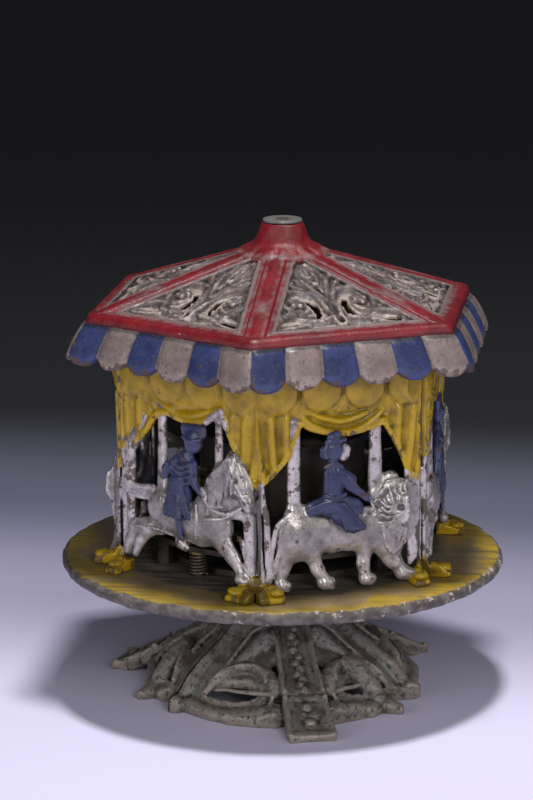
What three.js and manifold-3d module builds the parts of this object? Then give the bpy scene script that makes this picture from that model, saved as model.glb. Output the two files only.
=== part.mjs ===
// A wind-up merry-go-round toy in painted cast iron. Millimetres, +Z up, origin on the axis at the ground.
// A corner of the six-sided pavilion points along -Y. Azimuths are in degrees from -Y towards +X.
import * as THREE from 'three';
import { mergeVertices } from 'three/addons/utils/BufferGeometryUtils.js';
import Module from 'manifold-3d';

const wasm = await Module();
wasm.setup();

// ---- Driving dimensions ----
const SIDES = 6;
const SPREAD = Math.tan(Math.PI / SIDES);   // half a side's width over its distance from the axis
const HEIGHT = 118.7;
const PLATFORM_R = 55;
const PLATFORM_TOP = 35.4;
const PLATFORM_THICK = 3.4;
const HUB_TOP = 31;                 // top of the pedestal's hub
const WALL_BACK = 35.6;             // apothem of the back of a wall panel
const WALL_FRONT = 38.0;            // apothem of the front of its curtain
const WALL_HEIGHT = 61.9;           // above the platform
const EAVE_CORNER_R = 50;
const EAVE_Z = 98.3;
const EAVE_THICK = 1.9;
const VALANCE_DROP = 10.8;
const VALANCE_FLARE = 4.8;          // how much further out its lower edge is
const SPINDLE_R = 2.5;
const GAP = 0.1;                    // between pieces that touch

const PEDESTAL_TURN = 17.4;         // azimuth of the first foot strap at rest
const GOVERNOR_R = 31.5;            // distance of the governor's arbor from the axis
const GOVERNOR_AZIMUTH = -32;
const SUN_TEETH = 60;
const PINION_TEETH = 6;
const GEAR_MODULE = (2 * GOVERNOR_R) / (SUN_TEETH + PINION_TEETH);

// Heights of the works
const BEARING_PLATE_TOP = 36.9;
const MOTOR_PLATE = [42.0, 43.2];
const SUN_GEAR = [44.4, 46.0];
const UPPER_PLATE = [47.6, 48.8];
const BARREL = [48.9, 65.6];
const COCK_ARM = [61.0, 62.2];
const PLATE_R = 33.8;
const PILLAR_R = 31.2;              // distance of the pillars from the axis
const BARREL_R = 20.5;

// ---- Shapes and solids ----
const radians = THREE.MathUtils.degToRad;
const vec = (x, y) => new THREE.Vector2(x, y);

/** Manifold solid from a three.js geometry. */
function toSolid(geometry) {
  const bare = (geometry.index ? geometry.toNonIndexed() : geometry).clone();
  bare.deleteAttribute('normal');
  bare.deleteAttribute('uv');
  const merged = mergeVertices(bare, 1e-4);
  return new wasm.Manifold(new wasm.Mesh({
    numProp: 3,
    vertProperties: new Float32Array(merged.attributes.position.array),
    triVerts: new Uint32Array(merged.index.array),
  }));
}

/** three.js geometry from a Manifold solid. */
function toGeometry(solid) {
  const mesh = solid.getMesh();
  const geometry = new THREE.BufferGeometry();
  geometry.setAttribute('position', new THREE.BufferAttribute(mesh.vertProperties, 3));
  geometry.setIndex(new THREE.BufferAttribute(mesh.triVerts, 1));
  geometry.computeVertexNormals();
  return geometry;
}

const join = (geometries) => geometries.map(toSolid).reduce((whole, next) => whole.add(next));
const cut = (solid, geometries) => (
  geometries.map(toSolid).reduce((whole, next) => whole.subtract(next), solid));

/** Points of a circle. */
function circle(x, y, r, count) {
  const points = [];
  for (let i = 0; i < count; i += 1) {
    const a = (2 * Math.PI * i) / count;
    points.push(vec(x + r * Math.cos(a), y + r * Math.sin(a)));
  }
  return points;
}

const anticlockwise = (points) => (THREE.ShapeUtils.isClockWise(points) ? [...points].reverse() : points);

/** Outline of a round hole that clears radius r with its flats. */
const bore = (x, y, r, count) => circle(x, y, r / Math.cos(Math.PI / count), count);

/** A prism from z0 to z1 over an outline of points, with round holes given as point lists. */
function prism(points, z0, z1, holes = []) {
  const shape = points instanceof THREE.Shape ? points : new THREE.Shape(anticlockwise(points));
  shape.holes = holes.map((hole) => new THREE.Path(hole));
  const depth = z1 - z0;
  const geometry = new THREE.ExtrudeGeometry(shape, { depth, bevelEnabled: false, curveSegments: 3 });
  return geometry.translate(0, 0, z0);
}

/** A box between two places on each axis. */
const block = (u0, u1, v0, v1, w0, w1) => prism([vec(u0, v0), vec(u1, v0), vec(u1, v1), vec(u0, v1)], w0, w1);

/** A body turned about Z from [radius, height] pairs that start and end on the axis. */
function turned(pairs, segments) {
  return new THREE.LatheGeometry(pairs.map(([r, z]) => vec(r, z)), segments).rotateX(Math.PI / 2);
}

/** A turned ring with a closed section of [radius, height] pairs. */
function turnedRing(pairs, segments) {
  const section = anticlockwise(pairs.map(([r, z]) => vec(r, z)));
  return new THREE.LatheGeometry([...section, section[0]], segments).rotateX(Math.PI / 2);
}

/** A plain tube between two heights. */
const tube = (inner, outer, z0, z1, segments) => turnedRing(
  [[inner, z0], [outer, z0], [outer, z1], [inner, z1]], segments);

/** Outline of a limb: two circles and their common tangents. */
function limb([u0, v0, r0, u1, v1, r1]) {
  const widest = Math.max(r0, r1);
  const steps = [1.8, 4].filter((r) => widest > r).length + 1;
  const along = Math.atan2(v1 - v0, u1 - u0);
  const lean = Math.asin((r0 - r1) / Math.hypot(u1 - u0, v1 - v0));
  const points = [];
  for (let i = 0; i <= steps; i += 1) {
    const a = along - Math.PI / 2 + lean + (i / steps) * (Math.PI - 2 * lean);
    points.push(vec(u1 + r1 * Math.cos(a), v1 + r1 * Math.sin(a)));
  }
  for (let i = 0; i <= steps; i += 1) {
    const a = along + Math.PI / 2 - lean + (i / steps) * (Math.PI + 2 * lean);
    points.push(vec(u0 + r0 * Math.cos(a), v0 + r0 * Math.sin(a)));
  }
  return points;
}

/** Point on the ground plan at a radius and azimuth. */
function onPlan(r, azimuth) {
  return vec(r * Math.sin(radians(azimuth)), -r * Math.cos(radians(azimuth)));
}

// ---- Materials and the scene graph ----
const finishes = {
  silver: { color: 0xb9b4ae, roughness: 0.5, metalness: 0.5 },
  yellow: { color: 0xc2a02a, roughness: 0.5, metalness: 0.1 },
  red: { color: 0xa8202a, roughness: 0.45, metalness: 0.1 },
  iron: { color: 0x5a5850, roughness: 0.75, metalness: 0.5 },
  steel: { color: 0x8f8f90, roughness: 0.4, metalness: 0.9 },
  brass: { color: 0xa88646, roughness: 0.4, metalness: 0.9 },
  tin: { color: 0x4a4540, roughness: 0.6, metalness: 0.7 },
};

const toy = new THREE.Group();
const carousel = new THREE.Group();
const governor = new THREE.Group();
toy.add(carousel, governor);
governor.position.set(...onPlan(GOVERNOR_R, GOVERNOR_AZIMUTH), 0);

function addPiece(name, shape, finish, parent = toy) {
  const geometry = shape.isBufferGeometry ? shape : toGeometry(shape);
  const mesh = new THREE.Mesh(geometry, new THREE.MeshStandardMaterial(finishes[finish]));
  mesh.name = name;
  parent.add(mesh);
  return mesh;
}

// ---- Pedestal: a pierced cast dome on three strap feet and three lesser feet ----
const STRAP_END = 45;
const STRAP_WIDTH = [7.4, 11.6];    // at the hub and at the foot
const DOME = [[8, HUB_TOP], [8.3, 27], [10, 23.5], [14, 18.6], [20, 13.6], [28, 8.2], [31, 5], [32.5, 0],
  [29.8, 0], [28.8, 3], [20.5, 9.2], [12, 16], [6, 16.5], [SPINDLE_R + GAP, 16.5], [SPINDLE_R + GAP, HUB_TOP]];
const STRAP_SIDE = [[7, 29.8], [9, 27.2], [11, 24], [16, 18.3], [24, 12.8], [34, 7.8], [STRAP_END, 3.6],
  [STRAP_END, 0], [40, 0], [37.5, 2.4], [28, 6.4], [16, 13], [7, 20]];
const RIDGE_SIDE = [[7, 28.6], [10, 24.6], [15, 18.9], [23, 12.8], [31.5, 6.4], [34.6, 3], [35.4, 0],
  [29.8, 0], [28, 4], [16, 13], [7, 20]];
const RIDGE_WIDTH = 4;
// Holes in the dome, as radius and angle from a strap
const STRAP_HOLE = [[20.5, 15], [23.5, 25], [27, 20], [28.4, 14.5], [24, 13]];
const EYE_HOLE = [[27.6, 24], [27.2, 33], [27.8, 42], [30.3, 33]];

/** A side profile of [radius, height] pairs, width mm wide, standing at an azimuth. */
function standing(pairs, width, azimuth) {
  const side = prism(pairs.map(([r, z]) => vec(r, z)), -width / 2, width / 2);
  return side.rotateX(Math.PI / 2).rotateZ(radians(azimuth - 90));
}

function pedestal() {
  const taper = [vec(6, STRAP_WIDTH[0] / 2), vec(6, -STRAP_WIDTH[0] / 2),
    vec(STRAP_END + 1, -STRAP_WIDTH[1] / 2), vec(STRAP_END + 1, STRAP_WIDTH[1] / 2)];
  let whole = toSolid(turnedRing(DOME, 24));
  for (let k = 0; k < 3; k += 1) {
    const azimuth = PEDESTAL_TURN + 120 * k;
    const holes = [];
    for (const side of [-1, 1]) {
      for (const hole of [STRAP_HOLE, EYE_HOLE]) {
        const points = hole.map(([r, angle]) => onPlan(r, azimuth + side * angle));
        holes.push(prism(points, -1, 20));
      }
    }
    whole = cut(whole, holes);
    const plan = toSolid(prism(taper, -1, HUB_TOP + 1).rotateZ(radians(azimuth - 90)));
    whole = whole.add(toSolid(standing(STRAP_SIDE, STRAP_WIDTH[1] + 1, azimuth)).intersect(plan));
    whole = whole.add(toSolid(standing(RIDGE_SIDE, RIDGE_WIDTH, azimuth + 60)));
  }
  return whole.subtract(toSolid(prism(bore(0, 0, SPINDLE_R + GAP, 14), 5, HUB_TOP + 1)));
}

// ---- Spindle and what is fixed to it ----
const NUT = [11.2, 16.4];
const NUT_R = 5.6;
const THREAD_BELOW_NUT = 1.5;
const WASHER_R = 7;
const WASHER_THICK = 0.7;
const SPRING_HUB_R = 4.2;
const SPRING_HUB = [49.9, 64.9];
const CAP_THICK = 0.8;
const CAP_R = 4.85;
const TENON_R = 1.5;

function addSpindle() {
  const capBottom = HEIGHT - CAP_THICK;
  const foot = NUT[0] - THREAD_BELOW_NUT;
  addPiece('spindle', turned([[0, foot], [SPINDLE_R, foot], [SPINDLE_R, capBottom],
    [TENON_R, capBottom], [TENON_R, HEIGHT], [0, HEIGHT]], 14), 'steel');
  addPiece('spindle_nut', prism(circle(0, 0, NUT_R, 6), ...NUT, [bore(0, 0, SPINDLE_R + GAP, 14)]), 'steel');
  addPiece('thrust_washer', tube(SPINDLE_R + 2 * GAP, WASHER_R, HUB_TOP, HUB_TOP + WASHER_THICK, 18), 'brass');
  addPiece('spring_hub', tube(SPINDLE_R + 2 * GAP, SPRING_HUB_R, ...SPRING_HUB, 14), 'steel');
  addPiece('top_cap', tube(TENON_R + GAP, CAP_R, capBottom + 0.02, HEIGHT, 24), 'steel');
}

/** Outline of a gear with straight-sided teeth; the first tooth points along +X. */
function gearOutline(teeth) {
  const pitchR = (GEAR_MODULE * teeth) / 2;
  const step = (2 * Math.PI) / teeth;
  const root = pitchR - 1.1 * GEAR_MODULE;
  const tip = pitchR + 0.8 * GEAR_MODULE;
  const points = [];
  for (let i = 0; i < teeth; i += 1) {
    for (const [r, share] of [[root, -0.25], [tip, -0.1], [tip, 0.1], [root, 0.25]]) {
      points.push(vec(r * Math.cos((i + share) * step), r * Math.sin((i + share) * step)));
    }
  }
  return points;
}

const SUN_HUB_R = 5;
const MESH_ANGLE = radians(GOVERNOR_AZIMUTH - 90);   // from the axis to the governor, from +X

function sunGear() {
  const wheel = prism(gearOutline(SUN_TEETH), ...SUN_GEAR, [bore(0, 0, SPINDLE_R + GAP, 14)]);
  const hub = tube(SPINDLE_R + 2 * GAP, SUN_HUB_R, SUN_GEAR[0] - 0.8, SUN_GEAR[1] + 0.9, 14);
  return join([wheel, hub].map((shape) => shape.rotateZ(MESH_ANGLE + Math.PI / SUN_TEETH)));
}

// ---- Platform and the works that turn with it ----
const RIVET_U = 18.6;               // rivets' places on a wall panel: across it, and out from the axis
const RIVET_W = 42;
const RIVET_HOLE_R = 1;
const RIVET_SHANK_R = 0.8;
const PANEL_AZIMUTHS = [-30, 30, 90, 150, 210, 270];

function rivetPlaces() {
  const places = [];
  for (const azimuth of PANEL_AZIMUTHS) {
    for (const side of [-1, 1]) {
      const angle = azimuth + side * THREE.MathUtils.radToDeg(Math.atan2(RIVET_U, RIVET_W));
      places.push(onPlan(Math.hypot(RIVET_U, RIVET_W), angle));
    }
  }
  return places;
}

const BUSH_R = 5;
const BUSH_FLANGE_R = 7;
const BUSH_FLANGE_TOP = BEARING_PLATE_TOP + 1.4;
const BUSH_FOOT = HUB_TOP + WASHER_THICK + GAP;
const BEARING_PLATE_R = 28;
const PIVOT_HOLE_R = 0.9;           // for the governor's arbor
const PILLAR_SHANK_R = 2.2;
const PILLAR_TENONS_R = [1.5, 1];   // in the motor plate, in the upper plate
const SHEET = 0.8;                  // the barrel's wall

const pillarPlaces = () => [60, 180, 300].map((azimuth) => onPlan(PILLAR_R, azimuth));

function roundPlate(r, [z0, z1], centreR, holes = []) {
  return prism(circle(0, 0, r, 40), z0, z1, [bore(0, 0, centreR, 14), ...holes]);
}

function addPlatform() {
  const holes = rivetPlaces().map(({ x, y }) => bore(x, y, RIVET_HOLE_R, 6));
  addPiece('platform', prism(circle(0, 0, PLATFORM_R, 64), PLATFORM_TOP - PLATFORM_THICK, PLATFORM_TOP,
    [bore(0, 0, BUSH_R + GAP, 18), ...holes]), 'yellow', carousel);
  const bearing = roundPlate(BEARING_PLATE_R, [PLATFORM_TOP + GAP / 2, BEARING_PLATE_TOP], BUSH_R + GAP);
  addPiece('bearing_plate', bearing, 'tin', carousel);
  addPiece('platform_bush', turnedRing([[SPINDLE_R + 2 * GAP, BUSH_FOOT], [BUSH_R, BUSH_FOOT],
    [BUSH_R, BEARING_PLATE_TOP + GAP], [BUSH_FLANGE_R, BEARING_PLATE_TOP + GAP],
    [BUSH_FLANGE_R, BUSH_FLANGE_TOP], [SPINDLE_R + 2 * GAP, BUSH_FLANGE_TOP]], 18), 'brass', carousel);
}

function addWorks() {
  const arbor = onPlan(GOVERNOR_R, GOVERNOR_AZIMUTH);
  const arborHole = bore(arbor.x, arbor.y, PIVOT_HOLE_R, 8);
  const [lowTenonR, highTenonR] = PILLAR_TENONS_R;
  const holesFor = (r) => pillarPlaces().map(({ x, y }) => bore(x, y, r + GAP, 8));
  addPiece('motor_plate', roundPlate(PLATE_R, MOTOR_PLATE, 5.6, [arborHole, ...holesFor(lowTenonR)]),
    'tin', carousel);
  addPiece('upper_plate', roundPlate(PLATE_R, UPPER_PLATE, 5.2, [arborHole, ...holesFor(highTenonR)]),
    'tin', carousel);
  pillarPlaces().forEach(({ x, y }, index) => {
    const pillar = turned([[0, PLATFORM_TOP + GAP], [PILLAR_SHANK_R, PLATFORM_TOP + GAP],
      [PILLAR_SHANK_R, MOTOR_PLATE[0] - GAP / 2], [lowTenonR, MOTOR_PLATE[0] - GAP / 2],
      [lowTenonR, UPPER_PLATE[0] - GAP / 2], [highTenonR, UPPER_PLATE[0] - GAP / 2],
      [highTenonR, UPPER_PLATE[1] + 0.7], [0, UPPER_PLATE[1] + 0.7]], 10);
    addPiece(`plate_pillar_${index + 1}`, pillar, 'steel', carousel).position.set(x, y, 0);
  });
  addPiece('spring_barrel', turnedRing([[5.2, BARREL[0]], [BARREL_R, BARREL[0]], [BARREL_R, BARREL[1]],
    [BARREL_R - SHEET, BARREL[1]], [BARREL_R - SHEET, BARREL[0] + SHEET], [5.2, BARREL[0] + SHEET]], 28),
  'tin', carousel);
  addPiece('barrel_cover', turnedRing([[3.4, BARREL[1] + GAP], [BARREL_R + SHEET, BARREL[1] + GAP],
    [BARREL_R + SHEET, BARREL[1] + 0.9], [7, BARREL[1] + 1.7], [3.4, BARREL[1] + 1.7]], 28),
  'tin', carousel);
  addPiece('mainspring', mainspring(), 'steel', carousel);
}

/** A flat strip wound from the hub to the barrel's wall. */
function mainspring() {
  const [inner, outer, turns, thick, stepsPerTurn] = [4.7, 19.1, 4, 0.45, 14];
  const steps = turns * stepsPerTurn;
  const edge = (offset) => Array.from({ length: steps + 1 }, (_, i) => {
    const a = (2 * Math.PI * i) / stepsPerTurn;
    const r = inner + ((outer - inner) * i) / steps + offset;
    return vec(r * Math.cos(a), r * Math.sin(a));
  });
  const clearance = 1.4;
  const strip = [...edge(thick / 2), ...edge(-thick / 2).reverse()];
  return prism(strip, BARREL[0] + clearance, BARREL[1] - clearance);
}

/** An angled arm that holds the top of the governor's arbor, standing on the upper plate. */
function governorCock() {
  const [reach, width, postThick, overhang] = [7.4, 2.6, 2.2, 1.6];
  const foot = UPPER_PLATE[1] + GAP / 2;
  const post = new THREE.BoxGeometry(postThick, width, COCK_ARM[1] - foot);
  post.translate(reach - postThick / 2, 0, (COCK_ARM[1] + foot) / 2);
  const arm = new THREE.BoxGeometry(reach + overhang, width, COCK_ARM[1] - COCK_ARM[0]);
  arm.translate((reach - overhang) / 2, 0, (COCK_ARM[0] + COCK_ARM[1]) / 2);
  return cut(join([post, arm]), [prism(bore(0, 0, PIVOT_HOLE_R, 8), COCK_ARM[0] - 1, COCK_ARM[1] + 1)]);
}

// ---- Governor: a pinion, a wound spring and a fly on one arbor ----
const ARBOR_R = 0.8;
const ARBOR = [PLATFORM_TOP + 0.2, COCK_ARM[1] + 0.5];
const COIL = { radius: 1.95, wire: 0.72, pitch: 0.82, turns: 6, z0: 35.9 };
const COLLAR = [41.25, 41.9];
const COLLAR_R = 2.4;
const FLY_HUB = [50, 60];
const FLY_HUB_R = 1.5;
const BLADE = { reach: 3.6, halfThick: 0.3, z0: 50.6, z1: 59.4 };

/** A round wire wound about Z. */
function windings({ radius, wire, pitch, turns, z0 }) {
  class Helix extends THREE.Curve {
    getPoint(t, target = new THREE.Vector3()) {
      const a = 2 * Math.PI * turns * t;
      return target.set(radius * Math.cos(a), radius * Math.sin(a), z0 + pitch * turns * t);
    }
  }
  const section = new THREE.Shape(circle(0, 0, wire / 2, 5));
  const steps = 8 * turns;
  return new THREE.ExtrudeGeometry(section, { extrudePath: new Helix(), steps, bevelEnabled: false });
}

function addGovernor() {
  const boreOutline = bore(0, 0, ARBOR_R + GAP / 2, 8);
  addPiece('governor_arbor', turned([[0, ARBOR[0]], [ARBOR_R, ARBOR[0]], [ARBOR_R, ARBOR[1]], [0, ARBOR[1]]], 10),
    'steel', governor);
  addPiece('governor_spring', windings(COIL), 'iron', governor);
  addPiece('governor_collar', tube(ARBOR_R + GAP, COLLAR_R, ...COLLAR, 12), 'brass', governor);
  const pinion = prism(gearOutline(PINION_TEETH), SUN_GEAR[0] - 0.4, SUN_GEAR[1] + 0.4, [boreOutline]);
  addPiece('governor_pinion', pinion, 'brass', governor).rotation.z = MESH_ANGLE + Math.PI;
  const { reach, halfThick, z0, z1 } = BLADE;
  const blade = block(-reach, reach, -halfThick, halfThick, z0, z1);
  const hub = prism(circle(0, 0, FLY_HUB_R, 12), ...FLY_HUB);
  const fly = cut(join([blade, hub]), [prism(boreOutline, FLY_HUB[0] - 1, FLY_HUB[1] + 1)]);
  addPiece('governor_fly', fly, 'brass', governor);
  const cock = addPiece('governor_cock', governorCock(), 'brass', governor);
  cock.rotation.z = radians(GOVERNOR_AZIMUTH);
}

// ---- Wall panels: each is one casting of curtain, posts, poles, an animal and its rider ----
// Limbs are [u, v, r, u, v, r]: across the panel and up from the platform, with the radius at each end.
const HORSE = {
  body: [[-9, 17.4, 5.2, -1, 15.4, 5.4], [-1, 15.4, 5.4, 8.5, 15.6, 5.2]],
  neck: [[7.5, 18, 4.8, 13.5, 29.5, 3.2], [15, 31.5, 1.9, 19.6, 22.4, 1.7]],
  legs: [[10.5, 14, 3, 15.5, 8.4, 1.5], [15.5, 8.4, 1.5, 18, 4.4, 1.5], [18.9, 18, 1.1, 19.1, 4, 1.1],
    [13, 19.6, 1.1, 19, 19.4, 1.1], [-12, 14, 3, -15.6, 8.6, 1.4], [-15.6, 8.6, 1.4, -17.6, 4.6, 1.1],
    [-11, 13.4, 2.6, -13.4, 9, 1.3], [-13.4, 9, 1.3, -15.4, 4.6, 1]],
  tail: [[-11, 21.4, 1.7, -16.6, 22, 1.9], [-17.2, 30, 1.6, -17, 10, 1.5]],
};
const HORSE_RIDER = [[-1.4, 20.6, 4, -0.8, 24.4, 3.6], [-0.8, 24.4, 3.6, 1, 31, 3], [3, 34, 2.8, 3, 37, 2.8],
  [-0.4, 38.4, 0.9, 6.6, 38.4, 0.9], [-4.9, 27.8, 1.5, -2, 30, 1.6], [2.4, 27.4, 1.5, 6.4, 22.4, 0.9],
  [-0.4, 17, 1.1, -0.1, 11.4, 0.9]];
const LION = {
  body: [[-10.6, 15, 5.6, -3, 13.6, 5], [-3, 13.6, 5, 9, 14, 5.4], [-10.4, 19.6, 2.6, -6, 16.6, 2.4]],
  neck: [[13.4, 20.4, 6.6, 15.2, 18.4, 6.2], [12.6, 14, 4.6, 12.4, 9.6, 3.2]],
  legs: [[-9.4, 10.6, 2.6, -8, 5.6, 1.6], [-8, 5.6, 1.6, -5.2, 2.1, 1.8], [-16, 12, 2.6, -17.4, 4.6, 1.3],
    [-17.4, 4.6, 1.3, -15.8, 2.3, 1.5], [5.4, 11, 2.4, 4.8, 5, 1.6], [4.8, 5, 1.6, 5.7, 2.1, 1.9],
    [11.6, 9.4, 3, 14.4, 3.6, 1.9], [14.4, 3.6, 1.9, 16.4, 2.3, 1.7]],
  tail: [[-14.6, 19, 1.6, -18.8, 12, 1.2], [-18.8, 12, 1.2, -19.4, 5, 1.2], [19.8, 24, 1.2, 19.8, 8, 1.2]],
};
const LION_RIDER = [[-6.6, 20.6, 2, -2, 20.4, 3], [-1, 19.6, 3.8, 3.6, 15.6, 2.2], [-2.4, 24, 2.9, -2.4, 29.6, 2.6],
  [-2.2, 33.4, 2.6, -2.2, 35.8, 2.5], [-4.4, 37.4, 0.9, 0, 37.4, 0.9], [0.6, 27.4, 1.9, 5.8, 21.8, 0.9]];
const POLES = { horse: [-7, 9.9], lion: [-12.2, 8.6] };
const POLE_FOOT = { horse: [22, 27], lion: [18, 24] };
const POLE_WIDTH = { horse: 2.4, lion: 3 };
const DRAPE_TIP = [22.4, 25.6];     // where the tied-back curtain ends at a corner
const SWAG_END = [10.6, 40];        // where drape and swag meet
const SWAG_DIP = 4.8;
const POST_WIDTH = 3.4;
const LUG_THICK = 1.9;
const LUG_R = 2.5;
const FIGURE_FRONT = 40;
const POLE_THICK = 1.8;

function curtain() {
  const [tipU, tipV] = DRAPE_TIP;
  const [swagU, swagV] = SWAG_END;
  const shape = new THREE.Shape();
  shape.moveTo(-tipU, WALL_HEIGHT);
  shape.lineTo(-tipU, tipV);
  shape.quadraticCurveTo(-14.5, 30, -swagU, swagV);
  shape.quadraticCurveTo(0, swagV - SWAG_DIP, swagU, swagV);
  shape.quadraticCurveTo(14.5, 30, tipU, tipV);
  shape.lineTo(tipU, WALL_HEIGHT);
  return prism(shape, WALL_BACK, WALL_FRONT);
}

/** A prism standing on the ground plan of a panel: points are [across, out from the axis]. */
function planPrism(points, v0, v1, holes = []) {
  const turn = (list) => list.map(({ x, y }) => vec(x, -y));
  return prism(turn(points), v0, v1, holes.map(turn)).rotateX(-Math.PI / 2);
}

/** Foot lug of a panel: a tab on the platform with a rounded end and a hole. */
function lug(side) {
  const u = side * RIVET_U;
  const points = [vec(u - LUG_R, WALL_BACK + 0.4), vec(u + LUG_R, WALL_BACK + 0.4)];
  for (let i = 0; i <= 4; i += 1) {
    const a = (Math.PI * i) / 4;
    points.push(vec(u + LUG_R * Math.cos(a), RIVET_W + LUG_R * Math.sin(a)));
  }
  return planPrism(points, GAP, LUG_THICK, [bore(u, RIVET_W, RIVET_HOLE_R, 6)]);
}

/** The space between the two mitre planes at a panel's ends. */
function mitreWedge() {
  const [near, far] = [30, 48];
  const plan = [vec(-near * SPREAD + GAP, near), vec(near * SPREAD - GAP, near),
    vec(far * SPREAD - GAP, far), vec(-far * SPREAD + GAP, far)];
  return planPrism(plan, -1, WALL_HEIGHT + 1);
}

function panel(kind, animal, rider) {
  const parts = [curtain(), lug(-1), lug(1)];
  for (const bone of [...Object.values(animal).flat(), ...rider]) {
    parts.push(prism(limb(bone), WALL_BACK, FIGURE_FRONT));
  }
  POLES[kind].forEach((u, index) => {
    const half = POLE_WIDTH[kind] / 2;
    const foot = POLE_FOOT[kind][index];
    parts.push(block(u - half, u + half, foot, SWAG_END[1] + 1, WALL_BACK, WALL_BACK + POLE_THICK));
  });
  const [inner, outer] = [DRAPE_TIP[0] - POST_WIDTH, DRAPE_TIP[0]];
  for (const [u0, u1] of [[-outer, -inner], [inner, outer]]) {
    parts.push(block(u0, u1, GAP, DRAPE_TIP[1] + 4, WALL_BACK, WALL_FRONT - 0.4));
  }
  return join(parts).intersect(toSolid(mitreWedge()));
}

function addPanels() {
  PANEL_AZIMUTHS.forEach((azimuth, index) => {
    const isHorse = index % 2 === 0;
    const solid = isHorse ? panel('horse', HORSE, HORSE_RIDER) : panel('lion', LION, LION_RIDER);
    const place = new THREE.Group();
    place.position.z = PLATFORM_TOP;
    place.rotation.z = radians(azimuth);
    carousel.add(place);
    const name = `${isHorse ? 'horse' : 'lion'}_panel_${Math.floor(index / 2) + 1}`;
    addPiece(name, solid, 'silver', place).rotation.x = Math.PI / 2;
  });
}

function addRivets() {
  const [under, lugTop] = [PLATFORM_TOP - PLATFORM_THICK - GAP, PLATFORM_TOP + LUG_THICK + GAP];
  rivetPlaces().forEach(({ x, y }, index) => {
    const rivet = turned([[0, under - 0.8], [1.5, under - 0.8], [1.5, under], [RIVET_SHANK_R, under],
      [RIVET_SHANK_R, lugTop], [1.8, lugTop], [1.3, lugTop + 1.1], [0, lugTop + 1.4]], 6);
    const name = `panel_rivet_${String(index + 1).padStart(2, '0')}`;
    addPiece(name, rivet, 'steel', carousel).position.set(x, y, 0);
  });
}

// ---- Roof: a pierced six-sided shell with a round knob and a scalloped valance ----
const BUSH_SEAT_R = 3.7;            // bore of the knob, where its bush sits
const CROWN = [12, 110.1];          // where the roof's slope starts: corner radius, height
const CROWN_THICK = 2.5;
const KNOB = [[BUSH_SEAT_R, 106.4], [10, 106.4], [12.5, 109.2], [11, 110.6], [9.4, 111.6], [7.4, 112.9],
  [6.3, 114.1], [5.8, 115.4], [5.3, 116.6], [CAP_R, HEIGHT - CAP_THICK - GAP],
  [BUSH_SEAT_R, HEIGHT - CAP_THICK - GAP]];
const SHELL_BORE = BUSH_SEAT_R / Math.cos(Math.PI / SIDES);
const SHELL = [[SHELL_BORE, CROWN[1]], [SHELL_BORE, CROWN[1] - CROWN_THICK],
  [CROWN[0] - 1, CROWN[1] - CROWN_THICK], [EAVE_CORNER_R - 1.8, EAVE_Z - EAVE_THICK],
  [EAVE_CORNER_R, EAVE_Z - EAVE_THICK], [EAVE_CORNER_R, EAVE_Z], CROWN];
const ROOF_BUSH = [108, HEIGHT - CAP_THICK - 2 * GAP];
const TABS = 6;
const TAB_ROUND = 2;                // height of a tab's rounded end
const VALANCE_THICK = 1.6;
const VALANCE_SINK = 0.7;           // its top edge lies this far under the eave's top
// Holes in one roof panel, [across, out from the axis] in order round each hole; each has a mirrored twin.
const SCROLL_HOLES = [
  [[3.4, 26.4], [4.8, 25.8], [4.4, 29], [5.4, 32.8], [3.7, 31.8], [2.9, 29]],
  [[6, 19.6], [8.4, 22.6], [8, 23.2], [6, 21.4]],
  [[10, 33.4], [14.4, 34.6], [10.4, 35]]];
const CENTRE_HOLES = [[[-0.7, 20.4], [0.7, 20.4], [0.5, 24], [-0.5, 24]],
  [[-1.2, 34.9], [-0.5, 33.4], [0.5, 33.4], [1.2, 34.9]]];

function roofHoles(azimuth) {
  const outlines = CENTRE_HOLES.map((hole) => hole.map(([x, y]) => vec(x, -y)));
  for (const side of [-1, 1]) {
    SCROLL_HOLES.forEach((hole) => outlines.push(hole.map(([x, y]) => vec(side * x, -y))));
  }
  return outlines.map((points) => prism(points, EAVE_Z - 5, HEIGHT).rotateZ(radians(azimuth)));
}

/** One side of the valance: six round-ended tabs on a plate that leans outwards. */
function valanceSide(azimuth) {
  const apothem = EAVE_CORNER_R * Math.cos(Math.PI / SIDES);
  const slant = Math.hypot(VALANCE_DROP, VALANCE_FLARE);
  const notch = slant - TAB_ROUND;
  const topHalf = apothem * SPREAD;
  const notchHalf = (apothem + (VALANCE_FLARE * notch) / slant) * SPREAD;
  const shape = new THREE.Shape();
  shape.moveTo(-topHalf, 0);
  for (let i = 0; i <= TABS; i += 1) {
    const u = notchHalf * ((2 * i) / TABS - 1);
    if (i === 0) {
      shape.lineTo(u, -notch);
    } else {
      shape.quadraticCurveTo(u - notchHalf / TABS, -notch - 2 * TAB_ROUND, u, -notch);
    }
  }
  shape.lineTo(topHalf, 0);
  const plate = prism(shape, -VALANCE_THICK, 0).rotateX(-Math.atan2(VALANCE_FLARE, VALANCE_DROP));
  return plate.translate(0, EAVE_Z - VALANCE_SINK, apothem).rotateX(Math.PI / 2).rotateZ(radians(azimuth));
}

function roof() {
  const shell = turnedRing(SHELL, SIDES);
  let whole = join([shell, turnedRing(KNOB, 20), ...PANEL_AZIMUTHS.map(valanceSide)]);
  PANEL_AZIMUTHS.forEach((azimuth) => { whole = cut(whole, roofHoles(azimuth)); });
  return whole;
}

function addRoof() {
  addPiece('roof', roof(), 'red', carousel);
  addPiece('roof_bush', tube(SPINDLE_R + 2 * GAP, BUSH_SEAT_R - GAP, ...ROOF_BUSH, 16), 'brass', carousel);
}

addPiece('pedestal', pedestal(), 'iron');
addSpindle();
addPiece('sun_gear', sunGear(), 'brass');
addPlatform();
addWorks();
addGovernor();
addPanels();
addRivets();
addRoof();

export default toy;
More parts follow.
